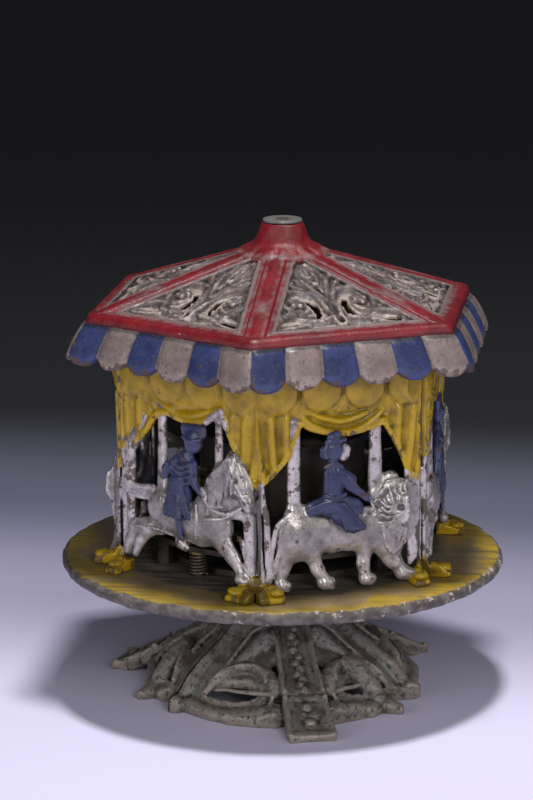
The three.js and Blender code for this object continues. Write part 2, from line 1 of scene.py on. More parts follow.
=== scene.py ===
"""A painted cast-iron merry-go-round toy: the finished surfaces around its CAD frame.

Castings are modelled as clay: signed distances on a grid of points, in millimetres, joined from
limbs and strands and then skinned. Azimuths are in degrees from -Y towards +X.
"""
import math
from functools import partial

import bpy
import numpy as np
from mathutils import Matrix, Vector


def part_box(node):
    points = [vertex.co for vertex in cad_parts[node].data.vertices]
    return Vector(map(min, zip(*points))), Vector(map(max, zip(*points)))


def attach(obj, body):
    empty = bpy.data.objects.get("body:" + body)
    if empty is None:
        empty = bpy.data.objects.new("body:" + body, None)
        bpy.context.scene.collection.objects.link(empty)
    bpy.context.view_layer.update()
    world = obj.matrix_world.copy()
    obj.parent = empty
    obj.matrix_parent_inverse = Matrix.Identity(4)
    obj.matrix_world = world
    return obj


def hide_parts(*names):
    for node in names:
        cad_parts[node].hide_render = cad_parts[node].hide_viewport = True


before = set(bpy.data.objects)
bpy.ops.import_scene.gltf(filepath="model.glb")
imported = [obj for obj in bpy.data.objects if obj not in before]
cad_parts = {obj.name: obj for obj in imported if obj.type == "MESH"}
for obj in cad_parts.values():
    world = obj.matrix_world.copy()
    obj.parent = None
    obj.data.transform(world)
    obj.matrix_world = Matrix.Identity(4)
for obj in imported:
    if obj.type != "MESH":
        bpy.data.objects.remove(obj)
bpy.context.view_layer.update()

MM = 0.001
FAR = 9.0                                   # distance given to points that nothing is near


def box_mm(node):
    """Lowest and highest corner of a CAD node, in millimetres."""
    low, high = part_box(node)
    return np.array(low) / MM, np.array(high) / MM


PLATFORM_TOP = box_mm("platform")[1][2]
PLATFORM_BOTTOM = box_mm("platform")[0][2]
PLATFORM_R = box_mm("platform")[1][0]
TOP = box_mm("top_cap")[1][2]
CAP_R = box_mm("top_cap")[1][0]
SIDES = 6
PANEL_AZIMUTHS = [-30, 30, 90, 150, 210, 270]
SPREAD = math.tan(math.pi / SIDES)          # half a side's width over its distance from the axis
FLAT_OUT = math.cos(math.pi / SIDES)        # a side's distance from the axis over a corner's
WALL_BACK = 35.6                            # distance of the wall's back from the axis
WALL_FRONT = 38.0
WALL_HEIGHT = 61.9
EAVE_CORNER_R = 50.0
EAVE_APOTHEM = EAVE_CORNER_R * FLAT_OUT
EAVE_Z = 98.3
ROOF_TOP = (10.4, 110.1)                    # where the roof's slope starts: distance out, and height
SLOPE = (ROOF_TOP[1] - EAVE_Z) / (EAVE_APOTHEM - ROOF_TOP[0])
VALANCE_DROP = 9.9
VALANCE_FLARE = 4.8
VALANCE_SLANT = math.hypot(VALANCE_DROP, VALANCE_FLARE)
TABS = 6                                    # round-ended tabs on each side of the valance
PEDESTAL_TURN = 17.4                        # azimuth of the first foot strap
WALL_STEP, ROOF_STEP, VALANCE_STEP = 0.28, 0.22, 0.25   # the clay grids' steps
RELIEF_CUT = 0.32                           # share of the wall's relief that is pressed flat above the feet


# ---- Numbers ----
def smooth_noise(points, scale, seed):
    """Smooth random numbers from -1 to 1 at points, on a lattice scale mm apart."""
    size = 32
    lattice = np.random.default_rng(seed).uniform(-1, 1, (size, size, size))
    place = np.asarray(points) / scale
    base = np.floor(place).astype(int)
    part = place - base
    part = part * part * (3 - 2 * part)
    total = np.zeros(len(place))
    for corner in np.ndindex(2, 2, 2):
        weight = np.prod(np.where(corner, part, 1 - part), axis=1)
        i, j, k = ((base + corner) % size).T
        total += weight * lattice[i, j, k]
    return total


def unevenness(points, scale, seed):
    """Smooth random shifts along X, Y and Z; scale is one number, or one for each axis."""
    scales = enumerate(np.broadcast_to(scale, 3))
    return np.stack([smooth_noise(points, size, seed + axis) for axis, size in scales], axis=1)


def curve(points, steps):
    """Points of a smooth curve through a few given ones, steps to each stretch."""
    points = np.array(points, float)
    ends = np.vstack([2 * points[0] - points[1], points, 2 * points[-1] - points[-2]])
    out = []
    for a, b, c, d in zip(ends, ends[1:], ends[2:], ends[3:]):
        for t in np.arange(steps) / steps:
            out.append(0.5 * (2 * b + (c - a) * t + (2 * a - 5 * b + 4 * c - d) * t ** 2
                              + (3 * b - a - 3 * c + d) * t ** 3))
    return np.array(out + [points[-1]])


def look_up(value, table):
    """A value looked up in a table of pairs, straight between its rows."""
    return np.interp(value, *zip(*table))


def soft_min(a, b, blend):
    """The smaller of two distances, with a fillet of size blend where they meet."""
    if blend <= 0:
        return np.minimum(a, b)
    h = np.clip(0.5 + 0.5 * (b - a) / blend, 0, 1)
    return b + (a - b) * h - blend * h * (1 - h)


def step_up(value, low, high):
    """0 below low, 1 above high, smooth between."""
    t = np.clip((value - low) / (high - low), 0, 1)
    return t * t * (3 - 2 * t)


# ---- Clay ----
class Clay:
    """Signed distances in millimetres, one field for each paint, on one grid of points."""

    def __init__(self, low, high, step, paints):
        self.low = np.array(low, float)
        self.step = step
        self.axes = [np.arange(a, b + step, step, dtype=np.float32) for a, b in zip(low, high)]
        shape = [len(axis) for axis in self.axes]
        self.fields = {paint: np.full(shape, FAR, np.float32) for paint in paints}

    def window(self, low, high):
        """Slices of the grid inside a box, and their open coordinates."""
        cuts = []
        for axis, a, b in zip(self.axes, low, high):
            cuts.append(slice(*np.searchsorted(axis, (a, b))))
        return tuple(cuts), np.ix_(*(axis[cut] for axis, cut in zip(self.axes, cuts)))

    def everywhere(self):
        """Slices and open coordinates of the whole grid."""
        return (slice(None),) * 3, np.ix_(*self.axes)

    def merge(self, paint, cuts, distance, blend):
        """Adds a shape to one paint."""
        field = self.fields[paint]
        field[cuts] = soft_min(field[cuts], distance, blend)

    def carve(self, cuts, distance, blend):
        """Takes a shape away from every paint."""
        for field in self.fields.values():
            field[cuts] = -soft_min(-field[cuts], distance, blend)

    def limb(self, paint, a, ra, b, rb, thin=(1, 1, 1), blend=0.5):
        """Adds two balls and the taper between them, scaled by thin; with no paint, carves them away."""
        a, b, thin = (np.array(v, np.float32) for v in (a, b, thin))
        reach = (max(ra, rb) + blend) * thin + 3 * self.step
        cuts, grid = self.window(np.minimum(a, b) - reach, np.maximum(a, b) + reach)
        if min(cut.stop - cut.start for cut in cuts) < 1:
            return
        way = (b - a) / thin
        place = [(g - o) / t for g, o, t in zip(grid, a, thin)]
        along = sum(p * w for p, w in zip(place, way)) / max(float(way @ way), 1e-9)
        along = np.clip(along, 0, 1)
        off = sum((p - along * w) ** 2 for p, w in zip(place, way))
        distance = (np.sqrt(off) - (ra + along * (rb - ra))) * float(thin.min()) ** 0.5
        if paint:
            self.merge(paint, cuts, distance, blend)
        else:
            self.carve(cuts, distance, blend)

    def strand(self, paint, points, r0, r1, steps=5, thin=(1, 1, 1), blend=0.3):
        """Adds a tapering strand along a smooth curve."""
        path = curve(points, steps)
        radii = np.linspace(r0, r1, len(path))
        for a, b, ra, rb in zip(path, path[1:], radii, radii[1:]):
            self.limb(paint, a, ra, b, rb, thin, blend)

    def cord(self, points, w, r0, r1, **shape):
        """Adds a silver strand at one distance from the axis: points are (across, up)."""
        self.strand("silver", [(u, v, w) for u, v in points], r0, r1, **shape)

    def face(self):
        """Height of the outermost clay over each point of the grid, as pressed so far."""
        solid = np.minimum.reduce(list(self.fields.values()))
        inside = solid[:, :, :-1] < 0
        top = inside.shape[2] - 1 - np.argmax(inside[:, :, ::-1], axis=2)
        a, b = (np.take_along_axis(solid, (top + up)[:, :, None], 2)[:, :, 0] for up in (0, 1))
        height = self.axes[2][top] + self.step * a / np.where(a == b, 1, a - b)
        return np.where(inside.any(axis=2), height, np.nan)

    def lay(self, paint, face, points, r0, r1, lift=0.0, blend=0.25):
        """Adds a strand along a face: points are (across, up), lift raises it off the face."""
        path = curve(points, 5)
        cells = np.rint((path[:, :2] - self.low[:2]) / self.step).astype(int)
        i, j = np.clip(cells, 0, np.array(face.shape) - 1).T
        height = face[i, j]
        rows, found = np.arange(len(path)), ~np.isnan(height)
        if not found.any():
            return
        height = np.interp(rows, rows[found], height[found])
        height = np.convolve(np.pad(height, 3, mode="edge"), np.full(7, 1 / 7), "valid") + lift
        radii = np.linspace(r0, r1, len(path))
        places = np.column_stack([path[:, :2], height])
        for a, b, ra, rb in zip(places, places[1:], radii, radii[1:]):
            self.limb(paint, a, ra, b, rb, blend=blend)

    def whole(self, blend=0.3):
        """One field of all the paints together, closed at the grid's border."""
        fields = list(self.fields.values())
        total = fields[0]
        for field in fields[1:]:
            total = soft_min(total, field, blend)
        total = total.copy()
        for axis in range(3):
            edge = np.moveaxis(total, axis, 0)
            edge[0] = np.maximum(edge[0], 0.1)
            edge[-1] = np.maximum(edge[-1], 0.1)
        return total


def sample(field, place):
    """Values of a field at points given in grid units."""
    base = np.clip(np.floor(place).astype(int), 0, np.array(field.shape) - 2)
    part = place - base
    total = np.zeros(len(place))
    for corner in np.ndindex(2, 2, 2):
        weight = np.prod(np.where(corner, part, 1 - part), axis=1)
        i, j, k = (base + corner).T
        total += weight * field[i, j, k]
    return total


def blur(field, cells, times=2):
    """A field averaged over a few cells each way."""
    field = field.astype(np.float32)
    for _ in range(times):
        for axis in range(3):
            margins = [(cells + 1, cells) if a == axis else (0, 0) for a in range(3)]
            padded = np.pad(field, margins, "edge")
            sums = np.moveaxis(np.cumsum(padded, axis=axis, dtype=np.float64), axis, 0)
            mean = (sums[2 * cells + 1:] - sums[:-2 * cells - 1]) / (2 * cells + 1)
            field = np.moveaxis(mean, 0, axis).astype(np.float32)
    return field


def skin(field):
    """Points, in grid units, and quads of a field's zero surface."""
    solid = field < 0
    shape = np.array(field.shape)
    corners = list(np.ndindex(2, 2, 2))
    count = np.zeros(shape - 1, np.int8)
    for i, j, k in corners:
        count += solid[i:shape[0] - 1 + i, j:shape[1] - 1 + j, k:shape[2] - 1 + k]
    active = (count > 0) & (count < 8)
    cell = np.argwhere(active)
    total = np.zeros((len(cell), 3))
    hits = np.zeros(len(cell))
    for corner in corners:
        for axis in range(3):
            if corner[axis]:
                continue
            step = np.eye(3, dtype=int)[axis]
            start = cell + corner
            a = field[tuple(start.T)]
            b = field[tuple((start + step).T)]
            crossed = (a < 0) != (b < 0)
            part = np.where(crossed, a / np.where(crossed, a - b, 1), 0)
            total += (np.array(corner) + part[:, None] * step) * crossed[:, None]
            hits += crossed
    points = cell + total / hits[:, None]
    index = np.full(active.shape, -1)
    index[active] = np.arange(len(cell))
    quads = []
    for axis in range(3):
        ahead = np.moveaxis(solid, axis, 0)
        edge = np.argwhere(np.moveaxis(ahead[:-1] != ahead[1:], 0, axis))
        u, v = np.eye(3, dtype=int)[[(axis + 1) % 3, (axis + 2) % 3]]
        inner = np.all((edge >= u + v) & (edge < np.where(u + v, shape - 1, shape)), axis=1)
        edge = edge[inner]
        ring = np.stack([index[tuple((edge - back).T)] for back in (u + v, v, 0 * u, u)], axis=1)
        outward = solid[tuple(edge.T)]
        quads.append(np.where(outward[:, None], ring, ring[:, ::-1]))
    return points, np.concatenate(quads)


# ---- Meshes ----
def add_mesh(name, points, faces, material, body, stands_for, marks=None):
    """Makes one visible piece from points in millimetres; marks are numbers kept on its points."""
    mesh = bpy.data.meshes.new(name)
    faces = np.asarray(faces)
    mesh.vertices.add(len(points))
    mesh.vertices.foreach_set("co", (np.asarray(points) * MM).astype(np.float32).ravel())
    mesh.loops.add(faces.size)
    mesh.loops.foreach_set("vertex_index", faces.astype(np.int32).ravel())
    mesh.polygons.add(len(faces))
    mesh.polygons.foreach_set("loop_start", np.arange(0, faces.size, faces.shape[1], dtype=np.int32))
    mesh.update(calc_edges=True)
    mesh.shade_smooth()
    for mark, values in (marks or {}).items():
        layer = mesh.attributes.new(mark, "FLOAT", "POINT")
        layer.data.foreach_set("value", np.asarray(values, np.float32))
    mesh.materials.append(material)
    piece = bpy.data.objects.new(name, mesh)
    bpy.context.scene.collection.objects.link(piece)
    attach(piece, body)
    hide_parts(*stands_for)
    return piece


def turn(points, azimuth):
    """Points turned about Z."""
    a = math.radians(azimuth)
    x, y, z = np.asarray(points).T
    return np.stack([x * math.cos(a) - y * math.sin(a), x * math.sin(a) + y * math.cos(a), z], axis=1)


def ring_quads(gaps, rings, count):
    """Quads across the first few gaps between rings of count points each."""
    i, j = np.meshgrid(np.arange(gaps), np.arange(count), indexing="ij")
    next_i, next_j = (i + 1) % rings, (j + 1) % count
    corners = [(i, j), (next_i, j), (next_i, next_j), (i, next_j)]
    return np.stack([ring * count + place for ring, place in corners], axis=2).reshape(-1, 4)


def lathe(profile, segments):
    """Points and quads of a closed profile of (radius, height) pairs turned about Z."""
    radii, heights = np.array(profile, float).T
    angle = np.arange(segments) * 2 * math.pi / segments
    points = np.stack([np.outer(np.cos(angle), radii), np.outer(np.sin(angle), radii),
                       np.tile(heights, (segments, 1))], axis=2).reshape(-1, 3)
    return points, ring_quads(segments, segments, len(profile))


def sweep(sections):
    """Points and quads of closed sections of equal count, joined, both ends drawn in to their middles."""
    sections = np.array(sections, float)
    ends = sections[[0, -1]].mean(axis=1, keepdims=True) + 0 * sections[[0, -1]]
    sections = np.concatenate([ends[:1], sections, ends[1:]])
    rings, count = sections.shape[:2]
    return sections.reshape(-1, 3), ring_quads(rings - 1, rings, count)[:, [0, 3, 2, 1]]


# The paints darken creases by this as painted shade, and lighten ridges with a painted highlight.
def hollowness(solid_field, place, cells):
    """How deep a point sits among its surroundings: below 0 on ridges, above 0 in creases."""
    return np.clip((sample(blur(solid_field < 0, cells), place) - 0.5) * 2.5, -1, 1)


# ---- Materials ----
class Paint:
    """A material's nodes, made with short calls."""

    def __init__(self, name):
        self.material = bpy.data.materials.new(name)
        self.material.use_nodes = True
        self.tree = self.material.node_tree
        self.shader = self.tree.nodes["Principled BSDF"]
        place = self.tree.nodes.new("ShaderNodeTexCoord")
        self.place = self.node("ShaderNodeVectorMath", operation="SCALE", Vector=place.outputs["Object"],
                               Scale=1 / MM).outputs[0]

    def node(self, kind, **inputs):
        node = self.tree.nodes.new(kind)
        for key, value in inputs.items():
            if key in node.inputs:
                self.feed(node.inputs[key], value)
            else:
                setattr(node, key, value)
        return node

    def feed(self, socket, value):
        if isinstance(value, bpy.types.NodeSocket):
            self.tree.links.new(value, socket)
        elif socket.type == "RGBA" and len(value) == 3:
            socket.default_value = (*value, 1)
        else:
            socket.default_value = value

    def combine(self, operation, a, b):
        node = self.node("ShaderNodeMath", operation=operation)
        self.feed(node.inputs[0], a)
        self.feed(node.inputs[1], b)
        return node.outputs[0]

    def plus(self, a, b):
        return self.combine("ADD", a, b)

    def minus(self, a, b):
        return self.combine("SUBTRACT", a, b)

    def times(self, a, b):
        return self.combine("MULTIPLY", a, b)

    def larger(self, a, b):
        return self.combine("MAXIMUM", a, b)

    def ramp(self, value, low, high, out_low=0.0, out_high=1.0):
        """A number taken smoothly from the range low..high to out_low..out_high."""
        node = self.node("ShaderNodeMapRange", interpolation_type="SMOOTHSTEP")
        for socket, number in zip(node.inputs, (value, low, high, out_low, out_high)):
            self.feed(socket, number)
        return node.outputs[0]

    def mix(self, share, a, b):
        """Colour a where share is 0, colour b where it is 1."""
        node = self.node("ShaderNodeMix", data_type="RGBA")
        self.feed(node.inputs[0], share)
        self.feed(node.inputs[6], a)
        self.feed(node.inputs[7], b)
        return node.outputs[2]

    def over(self, colour, mask, strength, shade):
        """A colour with a shade laid over it where the mask says."""
        return self.mix(self.times(mask, strength), colour, shade)

    def grain(self, size, detail=3.0, place=None, rough=0.55):
        """Cloudy noise, 0 to 1, with blotches size mm across."""
        node = self.node("ShaderNodeTexNoise", Vector=place or self.place, Scale=1 / size, Detail=detail,
                         Roughness=rough)
        return node.outputs[0]

    def stray(self, size, detail, rough=0.55, middle=0.5):
        """Cloudy noise about 0, to put a border out of true."""
        return self.minus(self.grain(size, detail, rough=rough), middle)

    def mark(self, name):
        """A number kept on the piece's points."""
        return self.node("ShaderNodeAttribute", attribute_name=name).outputs["Fac"]

    def bump(self, height, depth):
        """Raises the surface by height times depth mm."""
        node = self.node("ShaderNodeBump", Height=height, Distance=depth * MM, Strength=1.0)
        self.feed(self.shader.inputs["Normal"], node.outputs[0])

    def finish(self, colour, roughness, metallic=0.0, coat=0.0):
        """Feeds the shader and gives the finished material."""
        self.feed(self.shader.inputs["Base Color"], colour)
        self.feed(self.shader.inputs["Roughness"], roughness)
        self.feed(self.shader.inputs["Metallic"], metallic)
        self.feed(self.shader.inputs["Coat Weight"], coat)
        self.feed(self.shader.inputs["Coat Roughness"], COAT_ROUGHNESS)
        return self.material


COAT_ROUGHNESS = 0.14
STREAK_STRETCH = (0.12, 1.0, 1.0)           # draws the platform's streaks out along X
SILVERY = 0.2                               # a base colour more metallic than this is silver paint
BARE_IRON = (0.05, 0.04, 0.034)
RUST_BROWN = (0.11, 0.06, 0.035)
SILVER = (0.4, 0.355, 0.34)
# the pale silver of rubbed ridges, which also serves as a painted highlight
RUBBED_AND_HIGHLIT_SILVER = (0.82, 0.73, 0.74)
BEIGE = (0.21, 0.158, 0.148)
BLUE = (0.034, 0.041, 0.105)
TAB_BLUE = (0.028, 0.039, 0.12)
YELLOW = (0.4, 0.25, 0.004)
RED = (0.17, 0.006, 0.01)


def wear(paint, amount):
    """Where paint has come off: spots, and more of them on ridges. 0 to 1."""
    spots = paint.plus(paint.grain(2.6, 4, rough=0.6), paint.times(paint.mark("hollow"), -0.22))
    return paint.ramp(spots, 0.72 - amount, 0.75 - amount)


def coat(paint, shade, tone, painted_shade, ridge_rub_and_highlight, rubbed=None):
    """One colour of enamel: uneven, with painted shade in creases, and paler ridges, rubbed and with a
    painted highlight.
    """
    rubbed = rubbed or [c * 1.4 + 0.012 for c in shade]
    colour = paint.mix(tone, [c * 0.55 for c in shade], shade)
    # ridges paler: rubbed paint with a painted highlight
    colour = paint.over(colour, ridge_rub_and_highlight, 0.45, rubbed)
    # painted shade: creases darkened almost to black
    return paint.over(colour, painted_shade, 0.85, [c * 0.16 + 0.006 for c in shade])


def casting_paint(name, base, colours, metal, amount, speckle):
    """Old enamel on cast iron: a base colour, with others where a piece's marks say so; painted shade in
    its creases and a painted highlight on its ridges.
    """
    paint = Paint(name)
    hollow = paint.mark("hollow")
    wobble = paint.times(paint.stray(1.4, 4), 0.9)
    tone = paint.ramp(paint.grain(7, 4, rough=0.65), 0.32, 0.68)
    stray = paint.stray(1.7, 4, 0.7)
    # painted shade in creases, and rubbed paint with a painted highlight on ridges, both from the hollow
    # mark
    painted_shade = paint.ramp(paint.plus(hollow, stray), -0.04, 0.5)
    ridge_rub_and_highlight = paint.ramp(paint.plus(hollow, stray), -0.12, -0.5)
    colour = coat(paint, base, tone, painted_shade, ridge_rub_and_highlight, RUBBED_AND_HIGHLIT_SILVER if metal > SILVERY else None)
    brown = paint.ramp(paint.grain(3.6, 5, rough=0.7), 0.46, 0.72)
    colour = paint.over(colour, brown, 0.65, (0.13, 0.108, 0.094))
    coloured = None
    for mark, shade in colours.items():
        zone = paint.ramp(paint.plus(paint.mark(mark), wobble), 0.42, 0.56)
        colour = paint.mix(zone, colour, coat(paint, shade, tone, painted_shade, ridge_rub_and_highlight))
        coloured = zone if coloured is None else paint.larger(coloured, zone)
    metallic = paint.ramp(coloured, 0, 1, metal, 0.0)
    lost = wear(paint, amount)
    under = paint.mix(paint.grain(3), BARE_IRON, RUST_BROWN)
    colour = paint.over(colour, lost, 0.85, under)
    specks = paint.ramp(paint.grain(0.75, 2), 0.56, 0.68)
    plain = paint.ramp(coloured, 0, 1, speckle, speckle * 0.45)
    colour = paint.mix(paint.times(specks, plain), colour, (0.09, 0.075, 0.07))
    roughness = paint.ramp(paint.grain(2.2, 3), 0.3, 0.7, 0.2, 0.36)
    roughness = paint.plus(roughness, paint.times(lost, 0.3))
    roughness = paint.plus(roughness, 0.2 - 0.4 * metal)
    paint.bump(paint.minus(paint.times(paint.grain(0.9, 3), 0.8), lost), 0.12)
    gloss = paint.ramp(coloured, 0, 1, 0.0, 0.4) if metal > SILVERY else 0.0
    paint.feed(paint.shader.inputs["Specular IOR Level"], paint.ramp(coloured, 0, 1, 0.5, 0.22))
    return paint.finish(colour, roughness, metallic, gloss)


def red_enamel(paint):
    """Red enamel rubbed to grey along raised lines: its colour and how far it has gone."""
    stray = paint.stray(2.4, 5, middle=0.55)
    rubbed = paint.ramp(paint.plus(paint.mark("rubbed"), stray), 0.3, 0.75)
    tone = paint.ramp(paint.grain(6, 3), 0.3, 0.7)
    red = paint.mix(tone, [c * 0.6 for c in RED], RED)
    colour = paint.over(red, rubbed, 0.85, (0.15, 0.115, 0.11))
    lost = wear(paint, 0.03)
    return paint.over(colour, lost, 0.8, (0.24, 0.18, 0.155)), rubbed


def tarnished_silver(paint):
    """Silver paint gone grey and beige, with painted shade in every crease and paler ridges, rubbed and
    with a painted highlight.
    """
    hollow = paint.mark("hollow")
    tone = paint.ramp(paint.grain(3.2, 4), 0.35, 0.65)
    colour = paint.mix(tone, (0.05, 0.036, 0.033), (0.125, 0.09, 0.084))
    cool = paint.ramp(paint.grain(4.6, 2), 0.5, 0.7)
    colour = paint.over(colour, cool, 0.5, (0.1, 0.098, 0.115))
    stray = paint.stray(1.1, 4, 0.7)
    # painted shade in creases
    painted_crease_shade = paint.ramp(paint.plus(hollow, stray), -0.12, 0.2)
    colour = paint.over(colour, painted_crease_shade, 0.92, (0.02, 0.017, 0.015))
    # paler ridges: rubbed paint with a painted highlight
    ridge_rub_and_highlight = paint.ramp(paint.plus(hollow, stray), -0.24, -0.52)
    return paint.over(colour, ridge_rub_and_highlight, 0.7, (0.42, 0.34, 0.3))


def roof_paint():
    """The roof's two paints: red bands and frames, and tarnished scrollwork."""
    paint = Paint("roof_enamel")
    red, rubbed = red_enamel(paint)
    scrolls = tarnished_silver(paint)
    wobble = paint.times(paint.stray(1.4, 4), 0.8)
    zone = paint.ramp(paint.plus(paint.mark("red"), wobble), 0.42, 0.56)
    shine = paint.ramp(paint.grain(2.2, 3), 0.3, 0.7, 0.3, 0.46)
    shine = paint.plus(shine, paint.times(rubbed, 0.15))
    paint.bump(paint.grain(0.8, 4, rough=0.7), 0.16)
    return paint.finish(paint.mix(zone, scrolls, red), shine, paint.ramp(zone, 0, 1, 0.15, 0.0))


def weathered_iron():
    """Cast iron with the last of a grey-green paint, pitted, with pale edges that are rubbed and carry a
    painted highlight, and painted shade in its creases.
    """
    paint = Paint("weathered_iron")
    hollow = paint.mark("hollow")
    tone = paint.ramp(paint.grain(4.2, 5, rough=0.7), 0.4, 0.6)
    colour = paint.mix(tone, (0.11, 0.09, 0.078), (0.19, 0.185, 0.17))
    stray = paint.stray(1.6, 5, 0.7)
    # pale edges: rubbed paint with a painted highlight
    edge_rub_and_highlight = paint.ramp(paint.minus(stray, hollow), 0.3, 0.54)
    colour = paint.over(colour, edge_rub_and_highlight, 0.65, (0.3, 0.25, 0.205))
    # painted shade in creases
    painted_crease_shade = paint.ramp(paint.plus(hollow, paint.times(stray, 0.9)), -0.04, 0.22)
    colour = paint.over(colour, painted_crease_shade, 0.93, (0.024, 0.018, 0.014))
    pits = paint.ramp(paint.grain(1.1, 4, rough=0.75), 0.56, 0.66)
    colour = paint.over(colour, pits, 0.75, (0.05, 0.034, 0.026))
    raised = paint.plus(paint.grain(0.8, 4), paint.times(edge_rub_and_highlight, 0.5))
    paint.bump(paint.minus(raised, pits), 0.2)
    return paint.finish(colour, paint.ramp(tone, 0, 1, 0.34, 0.5), 0.25)


def platform_paint():
    """Yellow enamel streaked with brown from side to side, worn to dark iron at the rim."""
    paint = Paint("platform_yellow")
    parts = paint.node("ShaderNodeSeparateXYZ", Vector=paint.place).outputs
    flat = paint.node("ShaderNodeCombineXYZ", X=parts[0], Y=parts[1], Z=0.0).outputs[0]
    radius = paint.node("ShaderNodeVectorMath", operation="LENGTH", Vector=flat).outputs["Value"]
    stretch = paint.node("ShaderNodeVectorMath", operation="MULTIPLY", Vector=paint.place)
    paint.feed(stretch.inputs[1], STREAK_STRETCH)
    streaks = paint.grain(1.9, 4, stretch.outputs[0])
    tone = paint.ramp(paint.grain(14), 0.35, 0.65)
    yellow = paint.mix(tone, (0.24, 0.16, 0.025), (0.4, 0.27, 0.03))
    yellow = paint.mix(paint.ramp(streaks, 0.46, 0.64, 0.0, 0.8), yellow, (0.13, 0.1, 0.035))
    tan = paint.minus(paint.grain(10, 4), paint.times(radius, 0.03))
    tan = paint.ramp(tan, -1.0, -0.86)
    yellow = paint.over(yellow, tan, 0.7, (0.19, 0.14, 0.1))
    inner = paint.ramp(paint.plus(radius, paint.times(paint.grain(7, 4), 9)), 46.5, 43.5)
    floor = paint.mix(paint.ramp(streaks, 0.4, 0.62), (0.06, 0.051, 0.045), (0.16, 0.13, 0.105))
    yellow = paint.mix(inner, yellow, floor)
    rag = paint.times(paint.stray(2.4, 5), 2.6)
    rim = paint.ramp(paint.plus(radius, rag), PLATFORM_R - 1.6, PLATFORM_R - 0.9)
    below = paint.ramp(parts[2], PLATFORM_TOP - 0.5, PLATFORM_TOP - 1.0)
    bare = paint.larger(rim, below)
    iron = paint.mix(paint.ramp(paint.grain(2.2, 5), 0.4, 0.65), (0.06, 0.05, 0.045), (0.13, 0.11, 0.1))
    chips = paint.plus(paint.grain(2.4, 5, rough=0.65), paint.times(parts[0], 0.0014))
    chips = paint.ramp(chips, 0.63, 0.66)
    iron = paint.over(iron, chips, 0.8, (0.5, 0.38, 0.33))
    colour = paint.mix(bare, yellow, iron)
    roughness = paint.ramp(bare, 0, 1, 0.38, 0.7)
    raised = paint.times(paint.grain(1.2, 4), 0.6)
    paint.bump(paint.minus(raised, paint.times(bare, 0.8)), 0.14)
    return paint.finish(colour, roughness, 0.0)


def plain_metal(name, shade, stain, metallic, roughness):
    """Bare or dark metal with stains, used on the works inside."""
    paint = Paint(name)
    tone = paint.ramp(paint.grain(4, 5), 0.35, 0.7)
    colour = paint.mix(tone, shade, stain)
    spots = paint.ramp(paint.grain(1.1, 4), 0.6, 0.7)
    colour = paint.over(colour, spots, 0.6, RUST_BROWN)
    paint.bump(paint.grain(0.7, 4), 0.05)
    return paint.finish(colour, paint.ramp(tone, 0, 1, roughness, roughness + 0.2), metallic)


MATERIALS = {
    "casting": casting_paint("panel_enamel", SILVER, {"yellow": YELLOW, "blue": BLUE}, 0.5, 0.03, 0.3),
    "valance": casting_paint("valance_enamel", BEIGE, {"blue": TAB_BLUE, "red": RED}, 0.05, 0.06, 0.9),
    "roof": roof_paint(),
    "iron": weathered_iron(),
    "platform": platform_paint(),
    "steel": plain_metal("old_steel", (0.2, 0.19, 0.18), (0.09, 0.08, 0.07), 0.8, 0.4),
    "brass": plain_metal("old_brass", (0.28, 0.2, 0.09), (0.1, 0.065, 0.035), 0.9, 0.4),
    "tin": plain_metal("dark_tin", (0.06, 0.05, 0.042), (0.028, 0.024, 0.02), 0.5, 0.5),
    "spring": plain_metal("spring_steel", (0.2, 0.15, 0.11), (0.08, 0.055, 0.04), 0.8, 0.36),
    "cap": plain_metal("rubbed_iron", (0.24, 0.23, 0.22), (0.11, 0.1, 0.095), 0.6, 0.45),
}

CAD_FINISH = {
    "steel": ["spindle", "spindle_nut", "spring_hub", "governor_arbor"],
    "brass": ["thrust_washer", "sun_gear", "platform_bush", "roof_bush", "governor_collar",
              "governor_pinion", "governor_fly", "governor_cock"],
    "tin": ["bearing_plate", "motor_plate", "upper_plate", "plate_pillar_1", "plate_pillar_2",
            "plate_pillar_3", "spring_barrel", "barrel_cover"],
    "spring": ["mainspring"],
}


def finish_cad_nodes():
    """Gives the CAD pieces that stay their materials."""
    for finish, names in CAD_FINISH.items():
        for name in names:
            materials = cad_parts[name].data.materials
            materials.clear()
            materials.append(MATERIALS[finish])


